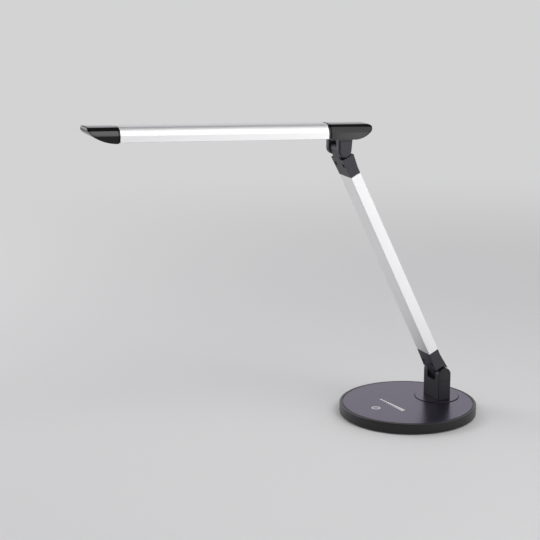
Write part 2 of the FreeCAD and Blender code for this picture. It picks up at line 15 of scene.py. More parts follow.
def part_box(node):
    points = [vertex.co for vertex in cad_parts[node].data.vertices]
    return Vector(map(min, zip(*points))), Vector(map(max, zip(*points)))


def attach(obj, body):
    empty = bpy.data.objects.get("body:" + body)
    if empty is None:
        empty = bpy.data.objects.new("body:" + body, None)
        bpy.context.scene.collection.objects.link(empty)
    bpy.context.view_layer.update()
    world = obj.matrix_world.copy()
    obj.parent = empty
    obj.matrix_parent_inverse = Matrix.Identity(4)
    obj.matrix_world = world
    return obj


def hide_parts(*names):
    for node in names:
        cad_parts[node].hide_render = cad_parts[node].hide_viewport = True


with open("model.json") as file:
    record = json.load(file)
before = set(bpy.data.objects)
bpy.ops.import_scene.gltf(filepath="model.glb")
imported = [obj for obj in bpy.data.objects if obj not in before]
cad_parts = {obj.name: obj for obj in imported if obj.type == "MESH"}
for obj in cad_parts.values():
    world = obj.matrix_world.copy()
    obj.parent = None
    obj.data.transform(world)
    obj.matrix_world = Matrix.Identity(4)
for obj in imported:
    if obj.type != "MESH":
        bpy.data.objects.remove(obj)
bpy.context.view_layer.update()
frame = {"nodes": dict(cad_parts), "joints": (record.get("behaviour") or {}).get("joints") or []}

bl_info = {
    "name": "Folding table lamp",
    "version": (1, 0, 0),
    "blender": (4, 5, 0),
    "location": "View3D > Sidebar > Lamp",
    "description": "Builds the visible pieces, finishes and studio of a folding table lamp",
    "category": "Object",
}

JOINTS = {joint["name"]: joint for joint in frame["joints"]}
PANEL_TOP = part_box("base_top_panel")[1].z
DISC_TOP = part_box("turntable")[1].z

# Play between a piece and the recess that it sits in
FIT = 0.00015
# Overlap that keeps two shells of a piece from sharing a plane
OVERLAP = 0.00004
# Distance below which two places count as one
NEAR = 1e-6


# Sizes and colours

def length(title, text, default):
    """A length that a user may change."""
    return FloatProperty(name=title, description=text, default=default, unit="LENGTH", precision=5)


def colour(title, text, default):
    """A colour that a user may change."""
    return FloatVectorProperty(name=title, description=text, default=default, subtype="COLOR", size=3,
                               min=0, max=1)


class LampBaseSizes(bpy.types.PropertyGroup):
    """Sizes of the base and the turntable."""
    radius: length("Radius", "Outer radius of the base", 0.090)
    foot: length("Foot", "Height of the shell's lower edge over the table", 0.0012)
    foot_round: length("Foot rounding", "Rounding of the shell's lower edge", 0.0016)
    rim_width: length("Rim width", "Width of the sloping rim round the panel", 0.0035)
    rim_fall: length("Rim fall", "Fall of the rim from its inner to its outer edge", 0.0003)
    rim_round: length("Rim rounding", "Rounding where the rim turns into the wall", 0.0010)
    rim_inner: length("Rim inner rounding", "Rounding of the rim's edge at the groove", 0.0004)
    panel_gap: length("Panel groove", "Width of the groove round the panel", 0.0009)
    panel_thickness: length("Panel thickness", "Thickness of the top panel", 0.0012)
    panel_round: length("Panel rounding", "Rounding of the panel's edge", 0.0003)
    deck: length("Deck", "Thickness of the shell's deck", 0.0020)
    wall: length("Wall", "Thickness of the shell's wall", 0.0030)
    disc_radius: length("Turntable radius", "Radius of the raised disc", 0.0288)
    disc_round: length("Turntable rounding", "Rounding of the disc's edge", 0.0004)
    disc_gap: length("Turntable gap", "Gap between the disc and the panel", 0.0010)


class LampMarkSizes(bpy.types.PropertyGroup):
    """Sizes of the printed marks on the panel."""
    touch_x: length("Touch mark place", "Place of the touch mark from the base's middle", -0.0501)
    ring_radius: length("Ring radius", "Outer radius of the touch ring", 0.0058)
    ring_width: length("Ring width", "Width of the touch ring's line", 0.0013)
    scale_x: length("Scale place", "Place of the dimmer scale from the base's middle", -0.0250)
    scale_length: length("Scale length", "Length of the dimmer scale", 0.0500)
    dot_small: length("Small dot", "Radius of the scale's smallest dot", 0.0012)
    dot_large: length("Large dot", "Radius of the scale's largest dot", 0.0019)
    dot_stretch: FloatProperty(name="Dot stretch", description="Length of a dot across the row by its width",
                               default=1.8, min=1)
    dots: IntProperty(name="Dots", description="Number of dots in the dimmer scale", default=11, min=2)
    thickness: length("Print thickness", "Thickness of the printed marks", 0.00005)


class LampHingeSizes(bpy.types.PropertyGroup):
    """Sizes of the post, the yoke and their covers."""
    slot_half: length("Slot half width", "Half the gap between two ears", 0.00985)
    post_half: length("Post half width", "Half the post's width along its hinge", 0.01955)
    post_depth: length("Post depth", "Depth of the post", 0.0184)
    slot_floor: length("Slot floor", "Height of the floor between the post's ears", 0.0406)
    post_round: length("Post rounding", "Rounding of the post's outer edges", 0.0011)
    post_ease: length("Post easing", "Easing of the post's cut edges", 0.00022)
    yoke_half: length("Yoke half width", "Half the yoke's width along its hinge", 0.0171)
    ear_radius: length("Ear radius", "Radius of the yoke's round ears", 0.0092)
    ear_root: length("Ear root", "Half the yoke ear's width at its root", 0.0097)
    ear_round: length("Ear rounding", "Rounding of the yoke's outer edges", 0.0008)
    bridge: length("Bridge", "Height of the yoke's bridge in the rear cap", 0.0050)
    bridge_inset: length("Bridge inset", "Inset of the bridge from the ears' outer faces", 0.0026)
    cover_border: length("Cover border", "Width of the border round a cover", 0.0017)
    cover_thickness: length("Cover thickness", "Thickness of a cover", 0.0014)
    cover_round: length("Cover rounding", "Rounding of a cover's outer edge", 0.0002)


class LampArmSizes(bpy.types.PropertyGroup):
    """Sizes of the arm and its ends."""
    width: length("Width", "Width of the arm", 0.0318)
    depth: length("Depth", "Depth of the arm", 0.0142)
    corner: length("Corner", "Rounding of the arm's long edges", 0.0004)
    end_round: length("End rounding", "Rounding of the edges at the arm's seams", 0.0003)
    neck: length("Neck", "Distance from a pivot to the tube", 0.0366)
    shoulder: length("Shoulder", "Distance from a pivot to the collar", 0.0105)
    flare_front: length("Front flare", "Growth of a collar's front towards its hinge", 0.0009)
    flare_back: length("Back flare", "Growth of a collar's back towards its hinge", 0.0018)
    flare_start: length("Flare start", "Straight length of a collar's back beside the tube", 0.0086)
    heel: length("Heel", "Distance from the lower pivot to the end of the lower collar's heel", 0.0055)
    heel_out: length("Heel reach", "Reach of the heel behind the arm's back", 0.0023)
    heel_clear: length("Heel clearance", "Distance from the lower pivot to the heel's inner edge", 0.00985)
    tongue_width: length("Tongue width", "Width of the hinge tongue", 0.0184)
    tongue_root: length("Tongue root", "Length of the tongue inside its collar", 0.0020)
    tongue_round: length("Tongue rounding", "Rounding of the tongue's edges", 0.0005)
    screw_up: length("Screw place", "Distance of the set screws from their pivot", 0.0193)
    screw_out: length("Screw spread", "Distance of the set screws from the middle", 0.0103)
    screw_hole: length("Screw hole", "Radius of the holes for the set screws", 0.0026)
    hole_depth: length("Screw hole depth", "Depth of the holes for the set screws", 0.00284)
    screw_radius: length("Screw radius", "Radius of the set screws", 0.002561)
    screw_length: length("Screw length", "Length of the set screws", 0.0015)
    screw_sunk: length("Screw depth", "Depth of the set screws below the face", 0.0006)
    socket_radius: length("Socket radius", "Radius of the six-sided sockets over their corners", 0.00143)
    socket_depth: length("Socket depth", "Depth of the six-sided sockets", 0.00105)


class LampHeadSizes(bpy.types.PropertyGroup):
    """Sizes of the light bar and its caps."""
    width: length("Width", "Width of the head", 0.0346)
    height: length("Height", "Height of the head", 0.01789)
    drop: length("Drop", "Height of the head's underside over its pivot", 0.0144)
    side_height: length("Side height", "Height of the steep part of the sides", 0.0078)
    side_lean: length("Side lean", "Lean of the sides", 0.0007)
    crown_half: length("Crown half width", "Half the width of the crown", 0.0095)
    crown_drop: length("Crown drop", "Fall of the crown to its edges", 0.0006)
    bulge: length("Shoulder bulge", "Bulge of the shoulders over a straight line", 0.0011)
    profile_length: length("Profile length", "Length of the metal profile", 0.273)
    profile_ease: length("Profile easing", "Easing of the metal profile's edges", 0.0003)
    lip: length("Lip", "Width of the lips beside the diffuser", 0.0044)
    lip_thickness: length("Lip thickness", "Thickness of the lips", 0.0015)
    lip_bevel: length("Lip bevel", "Bevel between the sides and the lips", 0.0004)
    channel: length("Channel", "Height of the channel over the underside", 0.0088)
    rear_seam: length("Rear seam", "Distance from the pivot to the rear seam", 0.0233)
    collar_step: length("Collar step", "Depth of the collars below the surface", 0.0005)
    nose_collar: length("Nose collar", "Width of the collar at the nose", 0.0022)
    nose_length: length("Nose length", "Length of the nose cap", 0.0373)
    nose_sweep: length("Nose sweep", "Length of the nose's rising underside", 0.0363)
    nose_tip: length("Nose tip", "Radius of the nose's tip", 0.0090)
    nose_crown: length("Nose crown", "Rounding of the nose's upper edge", 0.0016)
    rear_collar: length("Rear collar", "Width of the collar at the rear", 0.0038)
    rear_tip: length("Rear tip place", "Distance from the pivot to the rear tip", 0.0380)
    rear_sweep: length("Rear sweep", "Length of the rear's rising underside", 0.0250)
    rear_round: length("Rear tip", "Radius of the rear cap's tip", 0.0085)
    rear_crown: length("Rear crown", "Fall of the rear's upper edge", 0.0034)
    rear_run: length("Rear run", "Length over which the rear's upper edge falls", 0.0095)
    cap_drop: length("Cap drop", "Depth of the caps below the profile's underside", 0.0011)
    cap_edge: length("Cap edge", "Rounding of the caps' lower edges", 0.00035)
    collar_gap: length("Collar gap", "Width of the shadow gaps beside a cap's collar", 0.0009)
    collar_core: length("Collar core", "Depth of the shadow gaps beside a cap's collar", 0.0014)
    sole: length("Sole", "Thickness of a cap's sole", 0.0014)
    sole_groove: length("Sole groove", "Width of the groove over a cap's sole", 0.0006)
    sole_depth: length("Sole groove depth", "Depth of the groove over a cap's sole", 0.0005)


class LampColours(bpy.types.PropertyGroup):
    """Colours of the finishes and the floor."""
    aluminium: colour("Aluminium", "Satin anodised metal of the arm and head", (0.88, 0.88, 0.885))
    gloss: colour("Gloss black", "Glossy black of the caps", (0.003, 0.003, 0.0035))
    panel: colour("Panel black", "Glossy black of the panel and turntable", (0.006, 0.005, 0.009))
    shell: colour("Shell black", "Satin black of the base's shell", (0.005, 0.005, 0.006))
    hinge: colour("Hinge grey", "Textured dark grey of the hinges", (0.032, 0.030, 0.039))
    print_white: colour("Print white", "White of the printed marks", (0.92, 0.92, 0.92))
    print_grey: colour("Print grey", "Grey inside the touch ring", (0.30, 0.30, 0.33))
    floor: colour("Floor", "Pale floor of the studio", (0.85, 0.85, 0.85))


# Frames of the bodies

def frame_of(origin, x_axis, y_axis):
    """Matrix from a body's frame to the lamp's."""
    z_axis = x_axis.cross(y_axis)
    matrix = Matrix((x_axis, y_axis, z_axis)).transposed().to_4x4()
    matrix.translation = origin
    return matrix


def body_frames():
    """Frames of the four bodies, from the joints' places and limits."""
    swivel = Vector(JOINTS["base_swivel"]["pos_m"])
    lower = Vector(JOINTS["arm_fold"]["pos_m"])
    upper = Vector(JOINTS["head_fold"]["pos_m"])
    hinge = Vector(JOINTS["arm_fold"]["axis"])
    across = -hinge
    up = Vector((0, 0, 1))
    arm = (upper - lower).normalized()
    in_line = math.radians(-JOINTS["head_fold"]["range_deg"][0])
    nose = Matrix.Rotation(in_line, 3, hinge) @ arm
    return {
        "base": Matrix.Identity(4),
        "post": frame_of(Vector((swivel.x, swivel.y, 0)), across.cross(up), across),
        "arm": frame_of(lower, across.cross(arm), across),
        "head": frame_of(upper, -nose, across),
    }


BODY_FRAMES = body_frames()
PIVOT_Z = JOINTS["arm_fold"]["pos_m"][2]
ARM_LENGTH = (Vector(JOINTS["head_fold"]["pos_m"]) - Vector(JOINTS["arm_fold"]["pos_m"])).length


# Outlines

def arc(centre, radius, start, end, steps):
    """Points of an arc between two angles in degrees."""
    angles = [math.radians(start + (end - start) * i / steps) for i in range(steps + 1)]
    return [(centre[0] + radius * math.cos(a), centre[1] + radius * math.sin(a)) for a in angles]


def circle(centre, radius, count):
    """Closed outline of a circle."""
    return arc(centre, radius, 0, 360 - 360 / count, count - 1)


def filleted(corners, steps=8):
    """Closed outline of corners, each given by its place and the radius of its rounding."""
    # A rounding takes less than half of each side beside it
    most = 0.49
    places = [Vector(corner[:2]) for corner in corners]
    result = []
    for i, corner in enumerate(places):
        radius = corners[i][2]
        if radius <= 0:
            result.append(tuple(corner))
            continue
        back = places[i - 1] - corner
        ahead = places[(i + 1) % len(places)] - corner
        half = back.angle(ahead) / 2
        reach = min(radius / math.tan(half), most * back.length, most * ahead.length)
        radius = reach * math.tan(half)
        back.normalize()
        ahead.normalize()
        middle = corner + (back + ahead).normalized() * (radius / math.sin(half))
        first = corner + back * reach - middle
        last = corner + ahead * reach - middle
        sweep = first.angle_signed(last)
        for step in range(steps + 1):
            turn = Matrix.Rotation(-sweep * step / steps, 2)
            result.append(tuple(middle + turn @ first))
    return result


def lug(radius, root_half, root_distance, side, pivot=0.0, steps=40):
    """Outline of a hinge ear about its pivot: round end, tangent flanks and straight root on one side."""
    reach = math.hypot(root_half, root_distance)
    touch = math.degrees(math.atan2(root_distance, root_half) - math.acos(radius / reach))
    ends = arc((0, 0), radius, touch, -180 - touch, steps)
    points = ends + [(-root_half, root_distance), (root_half, root_distance)]
    return [(x, pivot + side * z) for x, z in points]


# Meshes

def closed(mesh):
    """Merge doubled points and turn the faces outwards."""
    bmesh.ops.remove_doubles(mesh, verts=mesh.verts, dist=1e-7)
    bmesh.ops.dissolve_degenerate(mesh, edges=mesh.edges, dist=1e-8)
    bmesh.ops.recalc_face_normals(mesh, faces=mesh.faces)
    return mesh


def skin(mesh, rings):
    """Join rings of points by faces, one ring to the next. A ring may be a single point."""
    for near, far in zip(rings, rings[1:]):
        count = max(len(near), len(far))
        for i in range(count):
            j = (i + 1) % count
            corners = (near[i % len(near)], near[j % len(near)], far[j % len(far)], far[i % len(far)])
            mesh.faces.new(list(dict.fromkeys(corners)))


def prism(outline, axis, low, high):
    """Solid of a flat outline between two places along an axis."""
    mesh = bmesh.new()
    index = "XYZ".index(axis)
    ends = []
    for place in (low, high):
        ends.append([mesh.verts.new((*pair[:index], place, *pair[index:])) for pair in outline])
        mesh.faces.new(ends[-1])
    skin(mesh, ends)
    return closed(mesh)


def block(x0, x1, y0, y1, z0, z1):
    """Box between two corners."""
    return prism([(x0, y0), (x1, y0), (x1, y1), (x0, y1)], "Z", z0, z1)


def lathe(profile, segments=180):
    """Solid of revolution about Z, from radius and height pairs that close on the axis or on themselves."""
    mesh = bmesh.new()
    turns = circle((0, 0), 1, segments)
    rings = []
    for radius, height in profile:
        places = [(radius * x, radius * y) for x, y in turns] if radius > 0 else [(0, 0)]
        rings.append([mesh.verts.new((x, y, height)) for x, y in places])
    skin(mesh, rings)
    return closed(mesh)


def disc(radius, low, high, edge=0.0, steps=8, segments=180):
    """Round plate about Z with a rounded upper edge."""
    corners = [(0, low, 0), (radius, low, 0), (radius, high, edge), (0, high, 0)]
    return lathe(filleted(corners, steps), segments)


def rim_edges(mesh, axis, *places):
    """Edges that lie in one of some planes across an axis."""
    index = "XYZ".index(axis)
    return [e for place in places for e in mesh.edges
            if all(abs(v.co[index] - place) < NEAR for v in e.verts)]


def softened(mesh, edges, width, steps=4):
    """Round some edges of a mesh."""
    bmesh.ops.bevel(mesh, geom=edges, offset=width, segments=steps, profile=0.5, affect="EDGES",
                    clamp_overlap=True)
    return closed(mesh)


def joined(first, *others):
    """One mesh of several separate shells."""
    for other in others:
        copy = bpy.data.meshes.new("shell")
        other.to_mesh(copy)
        first.from_mesh(copy)
        bpy.data.meshes.remove(copy)
        other.free()
    return first


def loose_object(name, mesh):
    """Object of a mesh, linked to the scene."""
    data = bpy.data.meshes.new(name)
    mesh.to_mesh(data)
    mesh.free()
    made = bpy.data.objects.new(name, data)
    bpy.context.scene.collection.objects.link(made)
    return made


def discard(made):
    """Remove an object and its mesh."""
    data = made.data
    bpy.data.objects.remove(made)
    bpy.data.meshes.remove(data)


def baked(piece):
    """Turn a piece's modifiers into a plain mesh."""
    bpy.context.view_layer.update()
    graph = bpy.context.evaluated_depsgraph_get()
    plain = bpy.data.meshes.new_from_object(piece.evaluated_get(graph), preserve_all_data_layers=True,
                                            depsgraph=graph)
    old = piece.data
    piece.modifiers.clear()
    piece.data = plain
    bpy.data.meshes.remove(old)
    plain.name = piece.name


def carved(piece, cutters):
    """Cut other solids out of a piece."""
    tools = [loose_object("cutter", cutter) for cutter in cutters]
    for tool in tools:
        step = piece.modifiers.new("Cut", "BOOLEAN")
        step.operation = "DIFFERENCE"
        step.solver = "EXACT"
        step.object = tool
    baked(piece)
    for tool in tools:
        discard(tool)


def smoothed(piece, sharp):
    """Shade a piece smoothly, apart from edges sharper than an angle in degrees."""
    piece.data.shade_smooth()
    piece.data.set_sharp_from_angle(angle=math.radians(sharp))


def carried(piece, body, node=None):
    """Let a piece ride on its body, and let it stand for a node."""
    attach(piece, body)
    if node:
        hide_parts(node)


def finished(name, mesh, body, finish, node=None, cutters=(), ease=0.0, sharp=32):
    """Place a mesh in its body's frame, cut it, ease its edges, and give it its finish and body."""
    piece = loose_object(name, mesh)
    if cutters:
        carved(piece, cutters)
    piece.data.transform(BODY_FRAMES[body])
    if ease:
        bevel = piece.modifiers.new("Ease", "BEVEL")
        bevel.width = ease
        bevel.segments = 2
        bevel.limit_method = "ANGLE"
        bevel.angle_limit = math.radians(sharp)
        bevel.use_clamp_overlap = True
        baked(piece)
    smoothed(piece, sharp)
    even = piece.modifiers.new("Even", "WEIGHTED_NORMAL")
    even.keep_sharp = True
    baked(piece)
    piece.data.materials.clear()
    piece.data.materials.append(finish_named(finish))
    carried(piece, body, node)


# Node trees

class Wire:
    """A value on its way through a node tree, with arithmetic that adds Math nodes."""

    def __init__(self, nodes, socket):
        self.nodes = nodes
        self.socket = socket

    def _math(self, operation, first, second):
        return self.nodes.node("ShaderNodeMath", {"operation": operation}, {0: first, 1: second})

    def __add__(self, other):
        return self._math("ADD", self, other)

    __radd__ = __add__

    def __sub__(self, other):
        return self._math("SUBTRACT", self, other)

    def __rsub__(self, other):
        return self._math("SUBTRACT", other, self)

    def __mul__(self, other):
        return self._math("MULTIPLY", self, other)

    __rmul__ = __mul__


class Nodes:
    """A node tree under construction, with the node that its results go to."""

    def __init__(self, tree, end):
        self.tree = tree
        self.end = end

    def fill(self, socket, value):
        """Lead a wire to a socket, or set a constant there."""
        if isinstance(value, Wire):
            self.tree.links.new(value.socket, socket)
        else:
            socket.default_value = value

    def feed(self, title, value):
        """Fill a socket of the end."""
        self.fill(self.end.inputs[title], value)

    def node(self, kind, settings=None, sockets=None, output=0):
        """Add a node, set it up, fill its sockets, and return one of its outputs."""
        made = self.tree.nodes.new(kind)
        for key, value in (settings or {}).items():
            setattr(made, key, value)
        for key, value in (sockets or {}).items():
            self.fill(made.inputs[key], value)
        return Wire(self, made.outputs[output])

    def between(self, share, first, second):
        """Blend of two colours."""
        sockets = {0: share, 6: (*first, 1), 7: (*second, 1)}
        return self.node("ShaderNodeMix", {"data_type": "RGBA"}, sockets, 2)

    def vector(self, operation, first, second=(0, 0, 0), output=0):
        """One step of vector arithmetic."""
        return self.node("ShaderNodeVectorMath", {"operation": operation}, {0: first, 1: second}, output)

    def toward(self, way, azimuth, rise=0.0):
        """How far a direction points to an azimuth in degrees, from -1 to 1."""
        aim = Vector((math.cos(math.radians(azimuth)), math.sin(math.radians(azimuth)), rise))
        return self.vector("DOT_PRODUCT", way, aim.normalized(), "Value")

    def ramp(self, value, start, end, first=0.0, last=1.0):
        """Smooth change from one number to another as a value goes from start to end."""
        sockets = {"Value": value, "From Min": start, "From Max": end, "To Min": first, "To Max": last}
        return self.node("ShaderNodeMapRange", {"interpolation_type": "SMOOTHSTEP"}, sockets)


class Finish(Nodes):
    """A material under construction, with the constants of its surface."""

    def __init__(self, name, constants):
        self.material = bpy.data.materials.new(name)
        self.material.use_nodes = True
        tree = self.material.node_tree
        super().__init__(tree, tree.nodes["Principled BSDF"])
        for socket, value in constants.items():
            self.feed(socket, value)

    def place(self, body="base", stretch=(1, 1, 1)):
        """Object coordinates in a body's frame, stretched."""
        stand = BODY_FRAMES[body]
        point = self.node("ShaderNodeTexCoord", output="Object")
        sockets = {"Vector": point, "Location": stand.translation, "Rotation": stand.to_euler()}
        local = self.node("ShaderNodeMapping", {"vector_type": "TEXTURE"}, sockets)
        return self.vector("MULTIPLY", local, stretch)

    def noise(self, where, scale, detail=2.0, rough=0.5):
        """Even noise from 0 to 1."""
        sockets = {"Vector": where, "Scale": scale, "Detail": detail, "Roughness": rough}
        return self.node("ShaderNodeTexNoise", None, sockets)

    def bump(self, height, strength, distance):
        """Lead a height to the surface as fine relief."""
        sockets = {"Height": height, "Strength": strength, "Distance": distance}
        self.feed("Normal", self.node("ShaderNodeBump", None, sockets))

    def shaded(self, share, base, spread):
        """Let the colour vary round a base colour."""
        dark = [max(0.0, c * (1 - spread)) for c in base]
        light = [min(1.0, c * (1 + spread)) for c in base]
        self.feed("Base Color", self.between(share, dark, light))


class Tree(Nodes):
    """A geometry node tree under construction, with named inputs."""

    def __init__(self, name, **inputs):
        group = bpy.data.node_groups.new(name, "GeometryNodeTree")
        group.interface.new_socket("Geometry", in_out="OUTPUT", socket_type="NodeSocketGeometry")
        self.identifiers = {}
        for title, kind in {"Geometry": "Geometry", **inputs}.items():
            made = group.interface.new_socket(title, in_out="INPUT", socket_type=f"NodeSocket{kind}")
            self.identifiers[title] = made.identifier
        super().__init__(group, group.nodes.new("NodeGroupOutput"))
        self.start = group.nodes.new("NodeGroupInput")

    def given(self, title):
        """One of the tree's named inputs."""
        return Wire(self, self.start.outputs[title])

    def close(self, geometry, finish):
        """Realize the instances, give them their finish and end the tree."""
        real = self.node("GeometryNodeRealizeInstances", None, {"Geometry": geometry})
        sockets = {"Geometry": real, "Material": finish_named(finish)}
        self.feed("Geometry", self.node("GeometryNodeSetMaterial", None, sockets))
        return self


# Finishes

def anodised(name, base, body, stretch):
    """Satin anodised aluminium with a faint grain along the piece."""
    finish = Finish(name, {"Metallic": 1.0})
    grain = finish.noise(finish.place(body, stretch), 1.0, 3.0, 0.6)
    cloud = finish.noise(finish.place(body), 18.0)
    finish.shaded(cloud, base, 0.02)
    finish.feed("Roughness", 0.48 + grain * 0.10)
    finish.bump(grain, 0.05, 0.00005)
    return finish.material


def glossy(name, base, rough, body, density, tint=(1, 1, 1)):
    """Moulded gloss plastic with a faint unevenness and traces of handling."""
    finish = Finish(name, {"IOR": density, "Specular Tint": (*tint, 1)})
    where = finish.place(body)
    wave = finish.noise(where, 60.0)
    speck = finish.noise(where, 900.0, 3.0)
    finish.shaded(speck, base, 0.12)
    finish.feed("Roughness", rough + wave * 0.05)
    finish.bump(wave, 0.04, 0.0004)
    return finish.material


def textured(name, base, rough, grain_size, depth, body="base"):
    """Moulded matt plastic or rubber with a fine pebbled grain."""
    finish = Finish(name, {"IOR": 1.48})
    where = finish.place(body)
    pebble = finish.noise(where, 1 / grain_size)
    cloud = finish.noise(where, 45.0)
    finish.shaded(cloud, base, 0.08)
    finish.feed("Roughness", rough + pebble * 0.12)
    finish.bump(pebble, 0.35, depth)
    return finish.material


def machined(name, base, rough, body="base"):
    """Plated or bare metal with fine scratches."""
    finish = Finish(name, {"Metallic": 1.0})
    scratch = finish.noise(finish.place(body, (1, 40, 1)), 120.0, 3.0)
    finish.shaded(scratch, base, 0.08)
    finish.feed("Roughness", rough + scratch * 0.15)
    return finish.material


def printed(name, base):
    """Screen-printed ink, or another thin even coat."""
    finish = Finish(name, {"IOR": 1.45})
    grain = finish.noise(finish.place(), 1500.0)
    finish.shaded(grain, base, 0.05)
    finish.feed("Roughness", 0.45 + grain * 0.10)
    return finish.material


def opal(name):
    """Milky diffuser."""
    finish = Finish(name, {"IOR": 1.49, "Subsurface Weight": 0.2})
    haze = finish.noise(finish.place("head"), 35.0)
    finish.feed("Base Color", finish.between(haze, (0.84, 0.84, 0.82), (0.88, 0.88, 0.86)))
    finish.feed("Roughness", 0.35 + haze * 0.08)
    return finish.material


def circuit(name, mask, trace, body):
    """Solder mask over copper traces."""
    finish = Finish(name, {"IOR": 1.5})
    sockets = {"Vector": finish.place(body), "Scale": 160.0, "Mortar Size": 0.03}
    cells = finish.node("ShaderNodeTexBrick", None, sockets, "Fac")
    finish.feed("Base Color", finish.between(cells, mask, trace))
    finish.feed("Roughness", 0.35 + cells * 0.15)
    return finish.material


# Share of the hinge grey's brightness that the post has; this darker copy of the grey is painted shade on the
# low post, where less light falls
POST_PAINTED_SHADE = 0.4
FINISHES = {}


def finish_named(name):
    """One of the lamp's finishes, made once. Its recipe is a maker and what that takes after the name."""
    colours = bpy.context.scene.lamp_colours
    hinge_grain = (0.42, 0.0004, 0.00003)
    # The hinge grey darkened for the post, as painted shade
    post = [POST_PAINTED_SHADE * c for c in colours.hinge]
    recipes = {
        "arm_metal": (anodised, colours.aluminium, "arm", (1800, 1800, 12)),
        "head_metal": (anodised, colours.aluminium, "head", (12, 1800, 1800)),
        "black_gloss": (glossy, colours.gloss, 0.08, "head", 1.45),
        "black_panel": (glossy, colours.panel, 0.26, "base", 1.85, (0.70, 0.56, 1.0)),
        "shell_satin": (textured, colours.shell, 0.28, 0.0009, 0.00002),
        "post_grey": (textured, post, *hinge_grain, "post"),
        "arm_grey": (textured, colours.hinge, *hinge_grain, "arm"),
        "head_grey": (textured, colours.hinge, *hinge_grain, "head"),
        "print_white": (printed, colours.print_white),
        "print_grey": (printed, colours.print_grey),
        "rubber_pad": (textured, (0.02, 0.02, 0.02), 0.75, 0.0012, 0.0002),
        "inlet_black": (textured, (0.012, 0.012, 0.012), 0.45, 0.0005, 0.00003),
        "washer_black": (textured, (0.02, 0.02, 0.022), 0.40, 0.0005, 0.00002, "arm"),
        "lead_black": (textured, (0.02, 0.02, 0.02), 0.55, 0.0008, 0.00005, "arm"),
        "iron": (machined, (0.16, 0.16, 0.16), 0.50),
        "plated_steel": (machined, (0.62, 0.62, 0.63), 0.28),
        "black_steel": (machined, (0.05, 0.05, 0.055), 0.30, "arm"),
        "brass": (machined, (0.80, 0.62, 0.30), 0.22),
        "diffuser": (opal,),
        "green_board": (circuit, (0.012, 0.13, 0.05), (0.05, 0.24, 0.10), "base"),
        "white_board": (circuit, (0.80, 0.80, 0.80), (0.72, 0.73, 0.72), "head"),
        "phosphor": (printed, (0.85, 0.72, 0.22)),
    }
    if name not in FINISHES:
        maker, *settings = recipes[name]
        FINISHES[name] = maker(name, *settings)
    return FINISHES[name]


# Repeated pieces

def grown(name, seed_points, tree, values):
    """Object whose mesh a tree makes from some points."""
    mesh = bmesh.new()
    for point in seed_points:
        mesh.verts.new(point)
    piece = loose_object(name, mesh)
    step = piece.modifiers.new("Grow", "NODES")
    step.node_group = tree.tree
    for title, value in values.items():
        step[tree.identifiers[title]] = value
    baked(piece)
    smoothed(piece, sharp=30)
    return piece


def dot_row_tree(finish):
    """Tree for a row of printed dots that grow along the row."""
    tree = Tree("dimmer_scale", Dots="Int", Start="Vector", Pitch="Vector", Small="Float", Large="Float",
                Stretch="Float", Thickness="Float")
    line = tree.node("GeometryNodeMeshLine", {"mode": "OFFSET"},
                     {"Count": tree.given("Dots"), "Start Location": tree.given("Start"),
                      "Offset": tree.given("Pitch")})
    dot = tree.node("GeometryNodeMeshCylinder", None,
                    {"Vertices": 32, "Radius": 1.0, "Depth": tree.given("Thickness")})
    size = tree.node("ShaderNodeMapRange", None,
                     {"Value": tree.node("GeometryNodeInputIndex"), "From Min": 0.0,
                      "From Max": tree.given("Dots") - 1.0, "To Min": tree.given("Small"),
                      "To Max": tree.given("Large")})
    scale = tree.node("ShaderNodeCombineXYZ", None, {"X": size * tree.given("Stretch"), "Y": size, "Z": 1.0})
    row = tree.node("GeometryNodeInstanceOnPoints", None, {"Points": line, "Instance": dot, "Scale": scale})
    return tree.close(row, finish)


def socket_screw_tree(finish):
    """Tree for headless screws with a six-sided socket, one on each point."""
    tree = Tree("set_screws", Radius="Float", Length="Float", Socket="Float", Depth="Float", Turn="Vector")
    body = tree.node("GeometryNodeMeshCylinder", None,
                     {"Vertices": 48, "Radius": tree.given("Radius"), "Depth": tree.given("Length")})
    key = tree.node("GeometryNodeMeshCylinder", None,
                    {"Vertices": 6, "Radius": tree.given("Socket"), "Depth": 2.0 * tree.given("Depth")})
    mouth = tree.node("ShaderNodeCombineXYZ", None, {"Z": 0.5 * tree.given("Length")})
    sunk = tree.node("GeometryNodeTransform", None, {"Geometry": key, "Translation": mouth})
    screw = tree.node("GeometryNodeMeshBoolean", {"operation": "DIFFERENCE"},
                      {"Mesh 1": body, "Mesh 2": sunk})
    turned = tree.node("GeometryNodeTransform", None, {"Geometry": screw, "Rotation": tree.given("Turn")})
    row = tree.node("GeometryNodeInstanceOnPoints", None,
                    {"Points": tree.given("Geometry"), "Instance": turned})
    return tree.close(row, finish)


def ear_covers(pocket, lid, half, sizes):
    """Cutters for the pockets in the outer faces of two ears, and the covers that snap into them."""
    depth = sizes.cover_thickness + FIT
    cutters = []
    covers = []
    for side in (-1, 1):
        face = side * half
        cutters.append(prism(pocket, "Y", face - depth, face + depth))
        cover = prism(lid, "Y", *sorted((face, face - side * sizes.cover_thickness)))
        covers.append(softened(cover, rim_edges(cover, "Y", face), sizes.cover_round, steps=2))
    return cutters, joined(*covers)


# Shape of the head

